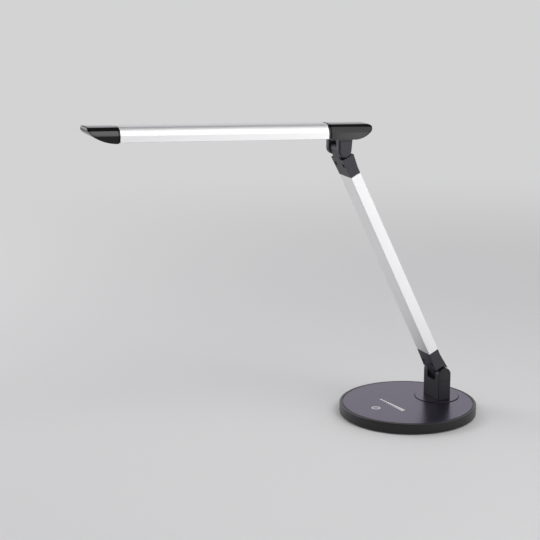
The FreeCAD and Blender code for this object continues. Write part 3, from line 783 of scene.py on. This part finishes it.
class Section:
    """Cross-section of the head: half width at a height, and height of the crown across it."""
    crown_steps = 12
    shoulder_steps = 16
    side_steps = 8
    edge_steps = 12
    sole_steps = 6
    profile_steps = 18
    # Largest shares of a ring's height and half width that the rounding of its lower edge takes
    edge_rise = 0.6
    edge_run = 0.4

    def __init__(self, sizes):
        self.sizes = sizes
        self.crease = sizes.height - sizes.crown_drop
        self.crown_radius = (sizes.crown_half ** 2 + sizes.crown_drop ** 2) / (2 * sizes.crown_drop)
        waist = Vector((sizes.width / 2 - sizes.side_lean, sizes.side_height))
        edge = Vector((sizes.crown_half, self.crease))
        chord = edge - waist
        outward = Vector((chord.y, -chord.x)).normalized()
        self.shoulder_radius = (chord.length ** 2 / 4 + sizes.bulge ** 2) / (2 * sizes.bulge)
        self.shoulder_middle = (waist + edge) / 2 - outward * (self.shoulder_radius - sizes.bulge)

    def half_width(self, height):
        """Half the width at a height below the crease."""
        sizes = self.sizes
        if height <= sizes.side_height:
            return sizes.width / 2 - sizes.side_lean * height / sizes.side_height
        rise = height - self.shoulder_middle.y
        return self.shoulder_middle.x + math.sqrt(self.shoulder_radius ** 2 - rise ** 2)

    def crown(self, across):
        """Height of the crown at a place across it."""
        return self.sizes.height - self.crown_radius + math.sqrt(self.crown_radius ** 2 - across ** 2)

    def crown_reach(self, height):
        """Place across the crown where it has a height."""
        rise = height - self.sizes.height + self.crown_radius
        return math.sqrt(max(0.0, self.crown_radius ** 2 - rise ** 2))

    def crown_points(self, reach, limit):
        """Points from the crown's middle towards a place across it, none above a limit."""
        places = [reach * i / self.crown_steps for i in range(self.crown_steps)]
        return [(place, min(self.crown(place), limit)) for place in places]

    def half_ring(self, low, high, edge):
        """Half outline between two heights, from the crown's middle round to the underside's middle."""
        top = min(self.crease, high)
        reach = self.sizes.crown_half if high >= self.crease else self.half_width(high)
        if low >= top:
            top = low
            reach = self.crown_reach(low) if low > self.crease else self.half_width(low)
        points = self.crown_points(reach, high) + [(reach, top)]
        corner_width = self.half_width(low) if low <= self.crease else reach
        edge = min(edge, self.edge_rise * (top - low), self.edge_run * corner_width)
        side_end = low + edge
        split = min(max(self.sizes.side_height, side_end), top)
        for first, last, steps in ((top, split, self.shoulder_steps), (split, side_end, self.side_steps)):
            for i in range(1, steps + 1):
                height = first + (last - first) * i / steps
                points.append((self.half_width(height) if height <= self.crease else reach, height))
        start = Vector(points[-1])
        corner = Vector((corner_width, low))
        end = Vector((corner_width - edge, low))
        for i in range(1, self.edge_steps + 1):
            t = i / self.edge_steps
            points.append(tuple(start * (1 - t) ** 2 + corner * (2 * t * (1 - t)) + end * t ** 2))
        for i in range(1, self.sole_steps + 1):
            points.append((end.x * (1 - i / self.sole_steps), low))
        return points

    def ring(self, low, high, edge):
        """Closed outline between two heights."""
        half = self.half_ring(low, high, edge)
        return half + [(-y, z) for y, z in half[-2:0:-1]]

    def inset_ring(self, inset):
        """Closed outline of a cap in the head's frame, set in from its surface all round."""
        sizes = self.sizes
        middle = (sizes.height - sizes.cap_drop) / 2
        narrow = 1 - 2 * inset / sizes.width
        flat = 1 - 2 * inset / (sizes.height + sizes.cap_drop)
        ring = self.ring(-sizes.cap_drop, sizes.height, sizes.cap_edge)
        return [(y * narrow, sizes.drop + middle + (z - middle) * flat) for y, z in ring]

    def outline(self):
        """Closed outline of the metal profile in the head's frame, with its channel for the light."""
        sizes = self.sizes
        fall = sizes.side_height - self.crease
        heights = [self.crease + fall * i / self.profile_steps for i in range(self.profile_steps + 1)]
        side = sizes.width / 2
        mouth = side - sizes.lip
        deep = side - sizes.lip / 2
        half = self.crown_points(sizes.crown_half, sizes.height)
        half += [(self.half_width(height), height) for height in heights + [sizes.lip_bevel]]
        half += [(side - sizes.lip_bevel, 0.0), (mouth, 0.0), (mouth, sizes.lip_thickness),
                 (deep, sizes.lip_thickness), (deep, sizes.channel)]
        return [(y, sizes.drop + z) for y, z in half + [(-y, z) for y, z in half[:0:-1]]]


class Hull:
    """Side view of an end cap: an underside that sweeps up to a tip, and a rounded upper edge."""
    arc_steps = 24

    def __init__(self, sizes, span, sweep, tip, crown, run):
        self.height = sizes.height
        self.bottom = -sizes.cap_drop
        self.span = span
        self.crown = crown
        self.run = run
        self.tip = tip
        self.middle = sizes.height - crown
        rise = self.middle - self.bottom
        self.large = ((sweep - tip) ** 2 + rise ** 2 - tip ** 2) / (2 * (rise - tip))
        self.start = span - sweep
        self.meet = self.start + (sweep - tip) * self.large / (self.large - tip)

    def low(self, x):
        """Height of the underside."""
        if x <= self.start:
            return self.bottom
        if x <= self.meet:
            return self.bottom + self.large - math.sqrt(max(0.0, self.large ** 2 - (x - self.start) ** 2))
        return self.middle - math.sqrt(max(0.0, self.tip ** 2 - (x - self.span + self.tip) ** 2))

    def high(self, x):
        """Height of the upper edge."""
        reach = (x - self.span + self.run) / self.run
        if reach <= 0:
            return self.height
        return self.middle + self.crown * math.sqrt(max(0.0, 1 - reach ** 2))

    def inner_edge(self, inset):
        """Side view of the underside, set in from it, and on straight up past the crown."""
        turn = math.degrees(math.asin((self.meet - self.start) / self.large)) - 90
        sweep = arc((self.start, self.bottom + self.large), self.large - inset, -90, turn, self.arc_steps)
        tip = arc((self.span - self.tip, self.middle), self.tip - inset, turn, 0, self.arc_steps)
        begin = (-self.tip, self.bottom + inset)
        end = (self.span - inset, self.height + self.tip)
        return [begin] + sweep + tip[1:] + [end]


def cap_mesh(section, hull, direction, origin, collar, stations=44):
    """Cap of the head's own section inside a hull, on a collar set back between two shadow gaps."""
    sizes = section.sizes
    mesh = bmesh.new()
    rings = []
    for i in range(stations + 1):
        x = hull.span * math.sin(math.pi / 2 * i / stations)
        outline = section.ring(hull.low(x), hull.high(x), sizes.cap_edge)
        rings.append([mesh.verts.new((origin + direction * x, y, sizes.drop + z)) for y, z in outline])
    mesh.faces.new(rings[0])
    skin(mesh, rings)
    closed(mesh)
    core = prism(section.inset_ring(sizes.collar_core), "X", origin - direction * collar,
                 origin + direction * FIT)
    band = prism(section.inset_ring(sizes.collar_step), "X", origin - direction * (collar - sizes.collar_gap),
                 origin - direction * sizes.collar_gap)
    return joined(mesh, core, band)


def sole_cutter(section, hull, direction, origin):
    """Thin curved plate that cuts the groove over a cap's sole."""
    sizes = section.sizes
    outer = hull.inner_edge(sizes.sole)
    inner = hull.inner_edge(sizes.sole + sizes.sole_groove)
    outline = [(origin + direction * x, sizes.drop + z) for x, z in outer + inner[::-1]]
    plate = loose_object("groove", prism(outline, "Y", -sizes.width, sizes.width))
    ends = sorted((origin - direction * hull.span, origin + direction * hull.span * 2))
    carved(plate, [prism(section.inset_ring(sizes.sole_depth), "X", *ends)])
    cutter = bmesh.new()
    cutter.from_mesh(plate.data)
    discard(plate)
    return cutter


# Operators

class LAMP_OT_base(bpy.types.Operator):
    """Build the base's shell with its rounded rim and foot, and the top panel."""
    bl_idname = "lamp.base"
    bl_label = "Base"

    def execute(self, context):
        sizes = context.scene.lamp_base
        recess = sizes.radius - sizes.rim_width
        inner = sizes.radius - sizes.wall
        floor = PANEL_TOP - sizes.panel_thickness
        under = floor - sizes.deck
        corners = [(0, floor, 0), (recess, floor, 0), (recess, PANEL_TOP, sizes.rim_inner),
                   (sizes.radius, PANEL_TOP - sizes.rim_fall, sizes.rim_round),
                   (sizes.radius, sizes.foot, sizes.foot_round), (inner, sizes.foot, 0), (inner, under, 0),
                   (0, under, 0)]
        low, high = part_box("dc_inlet_housing")
        mouth = block(low.x, high.x + sizes.wall, low.y - FIT, high.y + FIT, low.z - FIT, high.z + FIT)
        shell = lathe(filleted(corners, steps=10))
        finished("base_shell_round", shell, "base", "shell_satin", "base_shell", [mouth], sharp=25)
        panel = disc(recess - sizes.panel_gap, floor, PANEL_TOP, sizes.panel_round, steps=5)
        swivel = BODY_FRAMES["post"].translation
        opening = circle((swivel.x, swivel.y), sizes.disc_radius + sizes.disc_gap, count=180)
        hole = prism(opening, "Z", under, PANEL_TOP + sizes.deck)
        finished("base_panel_round", panel, "base", "black_panel", "base_top_panel", [hole], sharp=25)
        return {"FINISHED"}


class LAMP_OT_marks(bpy.types.Operator):
    """Print the touch ring and the dimmer scale on the panel."""
    bl_idname = "lamp.marks"
    bl_label = "Printed marks"

    def execute(self, context):
        sizes = context.scene.lamp_marks
        outer = sizes.ring_radius
        inner = outer - sizes.ring_width
        low = PANEL_TOP
        top = low + sizes.thickness
        ring = lathe([(inner, low), (outer, low), (outer, top), (inner, top), (inner, low)], segments=96)
        spot = disc(inner, low, top, segments=96)
        for name, mark, ink in (("touch_ring", ring, "print_white"), ("touch_spot", spot, "print_grey")):
            bmesh.ops.translate(mark, verts=mark.verts, vec=(sizes.touch_x, 0, 0))
            finished(name, mark, "base", ink)
        pitch = sizes.scale_length / (sizes.dots - 1)
        start = (sizes.scale_x, sizes.scale_length / 2, low + sizes.thickness / 2)
        row = grown("dimmer_scale", [start], dot_row_tree("print_white"),
                    {"Dots": sizes.dots, "Start": start, "Pitch": (0.0, -pitch, 0.0),
                     "Small": sizes.dot_small, "Large": sizes.dot_large, "Stretch": sizes.dot_stretch,
                     "Thickness": sizes.thickness})
        carried(row, "base")
        return {"FINISHED"}


class LAMP_OT_turntable(bpy.types.Operator):
    """Build the raised disc with its rounded edge."""
    bl_idname = "lamp.turntable"
    bl_label = "Turntable"

    def execute(self, context):
        sizes = context.scene.lamp_base
        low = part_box("turntable")[0].z
        plate = disc(sizes.disc_radius, low, DISC_TOP, sizes.disc_round, segments=140)
        finished("turntable_round", plate, "post", "black_panel", "turntable", sharp=25)
        return {"FINISHED"}


class LAMP_OT_post(bpy.types.Operator):
    """Build the hinge post with its rounded ears and its snap-in covers."""
    bl_idname = "lamp.post"
    bl_label = "Post"

    def execute(self, context):
        sizes = context.scene.lamp_hinges
        radius = sizes.post_depth / 2
        half = sizes.post_half
        body = prism(lug(radius, radius, PIVOT_Z - DISC_TOP, side=-1, pivot=PIVOT_Z), "Y", -half, half)
        rims = [e for e in rim_edges(body, "Y", -half, half)
                if max(v.co.z for v in e.verts) > DISC_TOP + NEAR]
        softened(body, rims, sizes.post_round)
        width = radius - sizes.cover_border
        pocket = lug(width, width, radius, side=-1, pivot=PIVOT_Z)
        lid = lug(width - FIT, width - FIT, radius - FIT, side=-1, pivot=PIVOT_Z)
        cutters, covers = ear_covers(pocket, lid, half, sizes)
        reach = sizes.post_depth
        gap = sizes.slot_half
        slot = block(-reach, reach, -gap, gap, sizes.slot_floor, PIVOT_Z + reach)
        # The post's finish is a darker copy of the hinge grey that paints in shade
        finished("post_round", body, "post", "post_grey", "hinge_post", [slot, *cutters], sizes.post_ease)
        finished("post_covers", covers, "post", "post_grey", "lower_ear_covers")
        return {"FINISHED"}


class LAMP_OT_arm(bpy.types.Operator):
    """Build the arm's tube, its collars and its hinge tongues."""
    bl_idname = "lamp.arm"
    bl_label = "Arm"

    def execute(self, context):
        sizes = context.scene.lamp_arm
        half_d = sizes.depth / 2
        half_w = sizes.width / 2
        places = [(-half_d, -half_w), (half_d, -half_w), (half_d, half_w), (-half_d, half_w)]
        start = sizes.neck
        end = ARM_LENGTH - sizes.neck
        tube = prism(filleted([(*place, sizes.corner) for place in places]), "Z", start, end)
        softened(tube, rim_edges(tube, "Z", start, end), sizes.end_round, steps=2)
        finished("arm_tube_round", tube, "arm", "arm_metal", "arm_tube", sharp=25)
        for name, flip in (("lower", False), ("upper", True)):
            self.end(sizes, name, flip)
        return {"FINISHED"}

    def collar_outline(self, sizes, heel):
        """Side view of a collar, deeper towards its hinge, with a heel behind the ears or without."""
        half = sizes.depth / 2
        points = [(-half, sizes.neck), (-half - sizes.flare_front, sizes.shoulder)]
        if heel:
            toe = math.sqrt(sizes.heel_clear ** 2 - sizes.heel ** 2)
            points += [(toe + sizes.heel - sizes.shoulder, sizes.shoulder), (toe, sizes.heel),
                       (half + sizes.heel_out, sizes.heel)]
        return points + [(half + sizes.flare_back, sizes.shoulder), (half, sizes.neck - sizes.flare_start),
                         (half, sizes.neck)]

    def leaf_outline(self, sizes, steps=32):
        """Side view of a tongue: round about the pivot, and flush with its collar's front and back."""
        half = sizes.depth / 2
        front = -half - sizes.flare_front
        root = sizes.shoulder + sizes.tongue_root
        return arc((0, 0), half, 180, 360, steps) + [(half, root), (front, root), (front, sizes.shoulder)]

    def long_edges(self, mesh, half_d, half_w):
        """Edges along the arm at the corners of a collar's front and back."""
        shortest = half_d / 4
        outermost = half_d * 0.85
        found = []
        for edge in mesh.edges:
            first, last = (v.co for v in edge.verts)
            on_side = all(abs(abs(point.y) - half_w) < NEAR for point in (first, last))
            is_long = abs(first.z - last.z) > shortest and abs(first.y - last.y) < NEAR
            if on_side and is_long and abs(first.x + last.x) / 2 > outermost:
                found.append(edge)
        return found

    def end(self, sizes, name, flip):
        """Collar and tongue at one end of the arm."""
        half_d = sizes.depth / 2
        half_w = sizes.width / 2
        half_t = sizes.tongue_width / 2

        def placed(points):
            """Points at this end of the arm, from their distances to its pivot."""
            return [(x, ARM_LENGTH - s if flip else s) for x, s in points]

        collar = prism(placed(self.collar_outline(sizes, not flip)), "Y", -half_w, half_w)
        softened(collar, self.long_edges(collar, half_d, half_w), sizes.corner, steps=6)
        cutters = []
        for centre in placed([(-sizes.screw_out, sizes.screw_up), (sizes.screw_out, sizes.screw_up)]):
            hole = circle(centre, sizes.screw_hole, count=48)
            cutters.append(prism(hole, "X", -half_d - sizes.hole_depth, -half_d + sizes.hole_depth))
        if not flip:
            cutters.append(block(-half_d - FIT, half_d + FIT, -half_t - FIT, half_t + FIT, 0, sizes.shoulder))
        finished(f"{name}_collar", collar, "arm", "arm_grey", f"{name}_sleeve", cutters,
                 ease=sizes.end_round, sharp=28)
        leaf = prism(placed(self.leaf_outline(sizes)), "Y", -half_t, half_t)
        softened(leaf, rim_edges(leaf, "Y", -half_t, half_t), sizes.tongue_round, steps=3)
        finished(f"{name}_leaf", leaf, "arm", "arm_grey", f"{name}_tongue")


class LAMP_OT_set_screws(bpy.types.Operator):
    """Set the headless screws in the arm's collars."""
    bl_idname = "lamp.set_screws"
    bl_label = "Set screws"

    def execute(self, context):
        sizes = context.scene.lamp_arm
        middle = -sizes.depth / 2 + sizes.screw_sunk + sizes.screw_length / 2
        stand = BODY_FRAMES["arm"]
        points = []
        for s in (sizes.screw_up, ARM_LENGTH - sizes.screw_up):
            for side in (-1, 1):
                points.append(stand @ Vector((middle, side * sizes.screw_out, s)))
        outward = (stand.to_3x3() @ Vector((-1, 0, 0))).to_track_quat("Z", "Y").to_euler()
        screws = grown("set_screws_socket", points, socket_screw_tree("black_steel"),
                       {"Radius": sizes.screw_radius, "Length": sizes.screw_length,
                        "Socket": sizes.socket_radius, "Depth": sizes.socket_depth, "Turn": tuple(outward)})
        carried(screws, "arm", "set_screws")
        return {"FINISHED"}


class LAMP_OT_light_bar(bpy.types.Operator):
    """Build the head's metal profile with its crown, shoulders and channel."""
    bl_idname = "lamp.light_bar"
    bl_label = "Light bar"

    def execute(self, context):
        sizes = context.scene.lamp_head
        rear = -sizes.rear_seam
        bar = prism(Section(sizes).outline(), "X", rear - sizes.profile_length, rear)
        finished("head_profile_round", bar, "head", "head_metal", "head_profile", ease=sizes.profile_ease,
                 sharp=30)
        return {"FINISHED"}


class LAMP_OT_end_caps(bpy.types.Operator):
    """Build the hull-shaped caps at both ends of the head."""
    bl_idname = "lamp.end_caps"
    bl_label = "End caps"

    def execute(self, context):
        sizes = context.scene.lamp_head
        nose = -sizes.rear_seam - sizes.profile_length - sizes.nose_collar
        hull = Hull(sizes, sizes.nose_length, sizes.nose_sweep, sizes.nose_tip, sizes.nose_crown,
                    sizes.nose_crown)
        self.cap("nose_cap", sizes, hull, -1, nose, sizes.nose_collar)
        rear = -sizes.rear_seam + sizes.rear_collar
        hull = Hull(sizes, sizes.rear_tip - rear, sizes.rear_sweep, sizes.rear_round, sizes.rear_crown,
                    sizes.rear_run)
        self.cap("rear_cap", sizes, hull, 1, rear, sizes.rear_collar)
        return {"FINISHED"}

    def cap(self, node, sizes, hull, direction, origin, collar):
        """One cap, with the groove over its sole."""
        section = Section(sizes)
        mesh = cap_mesh(section, hull, direction, origin, collar)
        groove = sole_cutter(section, hull, direction, origin)
        finished(f"{node}_round", mesh, "head", "black_gloss", node, [groove], sharp=11)


class LAMP_OT_yoke(bpy.types.Operator):
    """Build the yoke with its tapered ears and its snap-in covers."""
    bl_idname = "lamp.yoke"
    bl_label = "Yoke"

    def execute(self, context):
        sizes = context.scene.lamp_hinges
        head = context.scene.lamp_head
        drop = head.drop - head.cap_drop
        outer = sizes.yoke_half
        inner = sizes.slot_half

        def ear(inset):
            """Outline of an ear, set in all round."""
            return lug(sizes.ear_radius - inset, sizes.ear_root - inset, drop - inset, side=1)

        bridge = outer - sizes.bridge_inset
        root = sizes.ear_root
        shells = [block(-root, root, -bridge, bridge, drop - OVERLAP, head.drop + sizes.bridge)]
        for side in (-1, 1):
            shell = prism(ear(0.0), "Y", *sorted((side * inner, side * outer)))
            rims = [e for e in rim_edges(shell, "Y", side * outer, side * inner)
                    if min(v.co.z for v in e.verts) < drop - NEAR]
            shells.append(softened(shell, rims, sizes.ear_round))
        border = sizes.cover_border
        cutters, covers = ear_covers(ear(border), ear(border + FIT), outer, sizes)
        finished("yoke_round", joined(*shells), "head", "head_grey", "head_yoke", cutters)
        finished("yoke_covers", covers, "head", "head_grey", "upper_ear_covers")
        return {"FINISHED"}


# Nodes that keep their plain shape, by their finish
PLAIN_NODES = {
    "iron": ["base_weight"],
    "rubber_pad": ["anti_slip_pad"],
    "green_board": ["control_board"],
    "brass": ["touch_electrode", "dc_inlet_pin"],
    "inlet_black": ["dc_inlet_housing"],
    "plated_steel": ["stop_washer", "swivel_nut", "lower_hinge_bolt", "lower_hinge_nut", "yoke_screw",
                     "upper_hinge_bolt", "upper_hinge_nut"],
    "washer_black": ["friction_washers"],
    "lead_black": ["arm_lead", "head_lead"],
    "diffuser": ["diffuser"],
    "white_board": ["led_board"],
    "phosphor": ["led_chips"],
}


class LAMP_OT_inner_parts(bpy.types.Operator):
    """Give the pieces that keep their plain shape their finishes."""
    bl_idname = "lamp.inner_parts"
    bl_label = "Inner parts"

    def execute(self, context):
        for finish, names in PLAIN_NODES.items():
            for name in names:
                data = frame["nodes"][name].data
                data.materials.clear()
                data.materials.append(finish_named(finish))
        return {"FINISHED"}


# Place, target, width and height, and brightness of each soft light
SOFT_LIGHTS = {
    "nose_softbox": ((-0.01, -0.87, 1.24), (-0.42, 0.04, 0.40), (0.65, 0.87), 2.1),
    "key_softbox": ((0.67, -1.29, 1.70), (-0.25, 0.03, 0.40), (1.3, 1.6), 1.38),
    "low_card": ((1.09, -1.145, 0.28), (0.05, 0.0, 0.26), (1.4, 0.55), 1.9),
    "back_softbox": ((-1.20, 1.40, 1.60), (0.0, 0.0, 0.20), (1.2, 1.2), 2.4),
    "side_card": ((-0.72, 1.42, 0.34), (-0.10, 0.0, 0.34), (1.3, 0.50), 1.4),
}
FLOOR_HALF = 40
# Colour of the floor's far parts, and their brightness in reflections on the low card's side
FLOOR_FAR = (0.65, 0.65, 0.655, 1)
FLOOR_BRIGHT = 1.9
CARD_AZIMUTH = -42
SKY_TINT = (0.975, 0.965, 1.0, 1)
# Brightness of the sky that the camera sees, and the way to the glow behind the lamp
SKY_SEEN = 0.66
GLOW_AZIMUTH = 57
GLOW_RISE = 0.14
CAMERA_PLACE = (-1.21056, -1.72431, 0.72833)
CAMERA_TURN = (75.717, 0, -30.120)
CAMERA_LENS = 111.52


class LAMP_OT_stage(bpy.types.Operator):
    """Set up the floor, the soft lights, the surroundings and the camera."""
    bl_idname = "lamp.stage"
    bl_label = "Studio"

    def execute(self, context):
        scene = context.scene
        self.floor(scene.lamp_colours.floor)
        for name, settings in SOFT_LIGHTS.items():
            self.light(name, *settings)
        self.surroundings(scene)
        self.camera(scene)
        scene.view_settings.view_transform = "Standard"
        return {"FINISHED"}

    def floor(self, colour):
        """Pale floor that catches the lamp's shadow, and is evenly pale where it runs far away.

        In reflections it is even from nearer on, and brighter on the low card's side.
        """
        mesh = bmesh.new()
        bmesh.ops.create_grid(mesh, x_segments=1, y_segments=1, size=FLOOR_HALF)
        floor = loose_object("studio_floor", mesh)
        paint = Finish("studio_floor", {"Base Color": (*colour, 1), "Roughness": 0.7})
        place = paint.node("ShaderNodeTexCoord", output="Object")
        away = paint.vector("LENGTH", place, output="Value")
        card = paint.toward(paint.vector("NORMALIZE", place), CARD_AZIMUTH)
        eye = paint.node("ShaderNodeLightPath", output="Is Camera Ray")
        mirror = paint.node("ShaderNodeLightPath", output="Is Glossy Ray")
        even, bright = (paint.node("ShaderNodeEmission", None, {"Color": FLOOR_FAR, "Strength": strength})
                        for strength in (1.0, FLOOR_BRIGHT))
        share = mirror * paint.ramp(card, 0.80, 0.90)
        far = paint.node("ShaderNodeMixShader", None, {0: share, 1: even, 2: bright})
        reach = eye * paint.ramp(away, 0.45, 1.7) + mirror * paint.ramp(away, 0.20, 0.80)
        near = Wire(paint, paint.end.outputs[0])
        surface = paint.node("ShaderNodeMixShader", None, {0: reach, 1: near, 2: far})
        paint.fill(paint.tree.nodes["Material Output"].inputs["Surface"], surface)
        floor.data.materials.append(paint.material)

    def light(self, name, place, target, size, radiance):
        """One soft rectangular light that looks equally bright from everywhere."""
        lamp = bpy.data.lights.new(name, "AREA")
        lamp.shape = "RECTANGLE"
        lamp.size, lamp.size_y = size
        lamp.energy = radiance * math.pi * size[0] * size[1]
        made = bpy.data.objects.new(name, lamp)
        made.location = place
        made.rotation_euler = (Vector(target) - Vector(place)).to_track_quat("-Z", "Y").to_euler()
        made.visible_camera = False
        bpy.context.scene.collection.objects.link(made)

    def surroundings(self, scene):
        """Soft sky with a glow behind the lamp and a darker top, even where the camera sees it."""
        world = bpy.data.worlds.new("studio")
        scene.world = world
        world.use_nodes = True
        sky = Nodes(world.node_tree, world.node_tree.nodes["Background"])
        ray = sky.node("ShaderNodeTexCoord", output="Generated")
        rise = sky.node("ShaderNodeSeparateXYZ", None, {"Vector": ray}, "Z")
        facing = sky.toward(ray, GLOW_AZIMUTH, GLOW_RISE)
        seen = sky.node("ShaderNodeLightPath", output="Is Camera Ray")
        mirror = sky.node("ShaderNodeLightPath", output="Is Glossy Ray")
        horizon = sky.ramp(facing, -0.6, 0.6, 0.40, 0.58)
        dome = sky.ramp(rise, 0.25, 0.80, horizon, 0.26 - 0.10 * mirror)
        glow = sky.ramp(facing, 0.72, 1.0, 0.0, 0.44)
        sky.feed("Strength", seen * SKY_SEEN + (1.0 - seen) * (dome + glow))
        sky.feed("Color", SKY_TINT)

    def camera(self, scene):
        """Camera at the photograph's viewing angle."""
        camera = bpy.data.cameras.new("camera")
        camera.lens = CAMERA_LENS
        camera.clip_start = 0.05
        made = bpy.data.objects.new("camera", camera)
        made.location = CAMERA_PLACE
        made.rotation_euler = [math.radians(angle) for angle in CAMERA_TURN]
        scene.collection.objects.link(made)
        scene.camera = made


OPERATORS = (LAMP_OT_base, LAMP_OT_marks, LAMP_OT_turntable, LAMP_OT_post, LAMP_OT_arm, LAMP_OT_set_screws,
             LAMP_OT_light_bar, LAMP_OT_end_caps, LAMP_OT_yoke, LAMP_OT_inner_parts, LAMP_OT_stage)
GROUPS = {"lamp_base": LampBaseSizes, "lamp_marks": LampMarkSizes, "lamp_hinges": LampHingeSizes,
          "lamp_arm": LampArmSizes, "lamp_head": LampHeadSizes, "lamp_colours": LampColours}


class LAMP_PT_pieces(bpy.types.Panel):
    """Buttons for the lamp's pieces, and their sizes and colours."""
    bl_idname = "LAMP_PT_pieces"
    bl_label = "Folding table lamp"
    bl_space_type = "VIEW_3D"
    bl_region_type = "UI"
    bl_category = "Lamp"

    def draw(self, context):
        column = self.layout.column(align=True)
        for operator in OPERATORS:
            column.operator(operator.bl_idname)
        for name in GROUPS:
            group = getattr(context.scene, name)
            part = self.layout.column(align=True)
            for key in group.bl_rna.properties.keys():
                if key not in ("rna_type", "name"):
                    part.prop(group, key)


CLASSES = (*GROUPS.values(), *OPERATORS, LAMP_PT_pieces)


def register():
    """Add the classes and the scene's sizes and colours."""
    for cls in CLASSES:
        bpy.utils.register_class(cls)
    for name, group in GROUPS.items():
        setattr(bpy.types.Scene, name, PointerProperty(type=group))


def unregister():
    """Take the classes and the scene's sizes and colours out again."""
    for name in GROUPS:
        delattr(bpy.types.Scene, name)
    for cls in reversed(CLASSES):
        bpy.utils.unregister_class(cls)


def main():
    """Build the lamp and its studio."""
    register()
    bpy.ops.lamp.base()
    bpy.ops.lamp.marks()
    bpy.ops.lamp.turntable()
    bpy.ops.lamp.post()
    bpy.ops.lamp.arm()
    bpy.ops.lamp.set_screws()
    bpy.ops.lamp.light_bar()
    bpy.ops.lamp.end_caps()
    bpy.ops.lamp.yoke()
    bpy.ops.lamp.inner_parts()
    bpy.ops.lamp.stage()


if __name__ == "__main__":
    main()
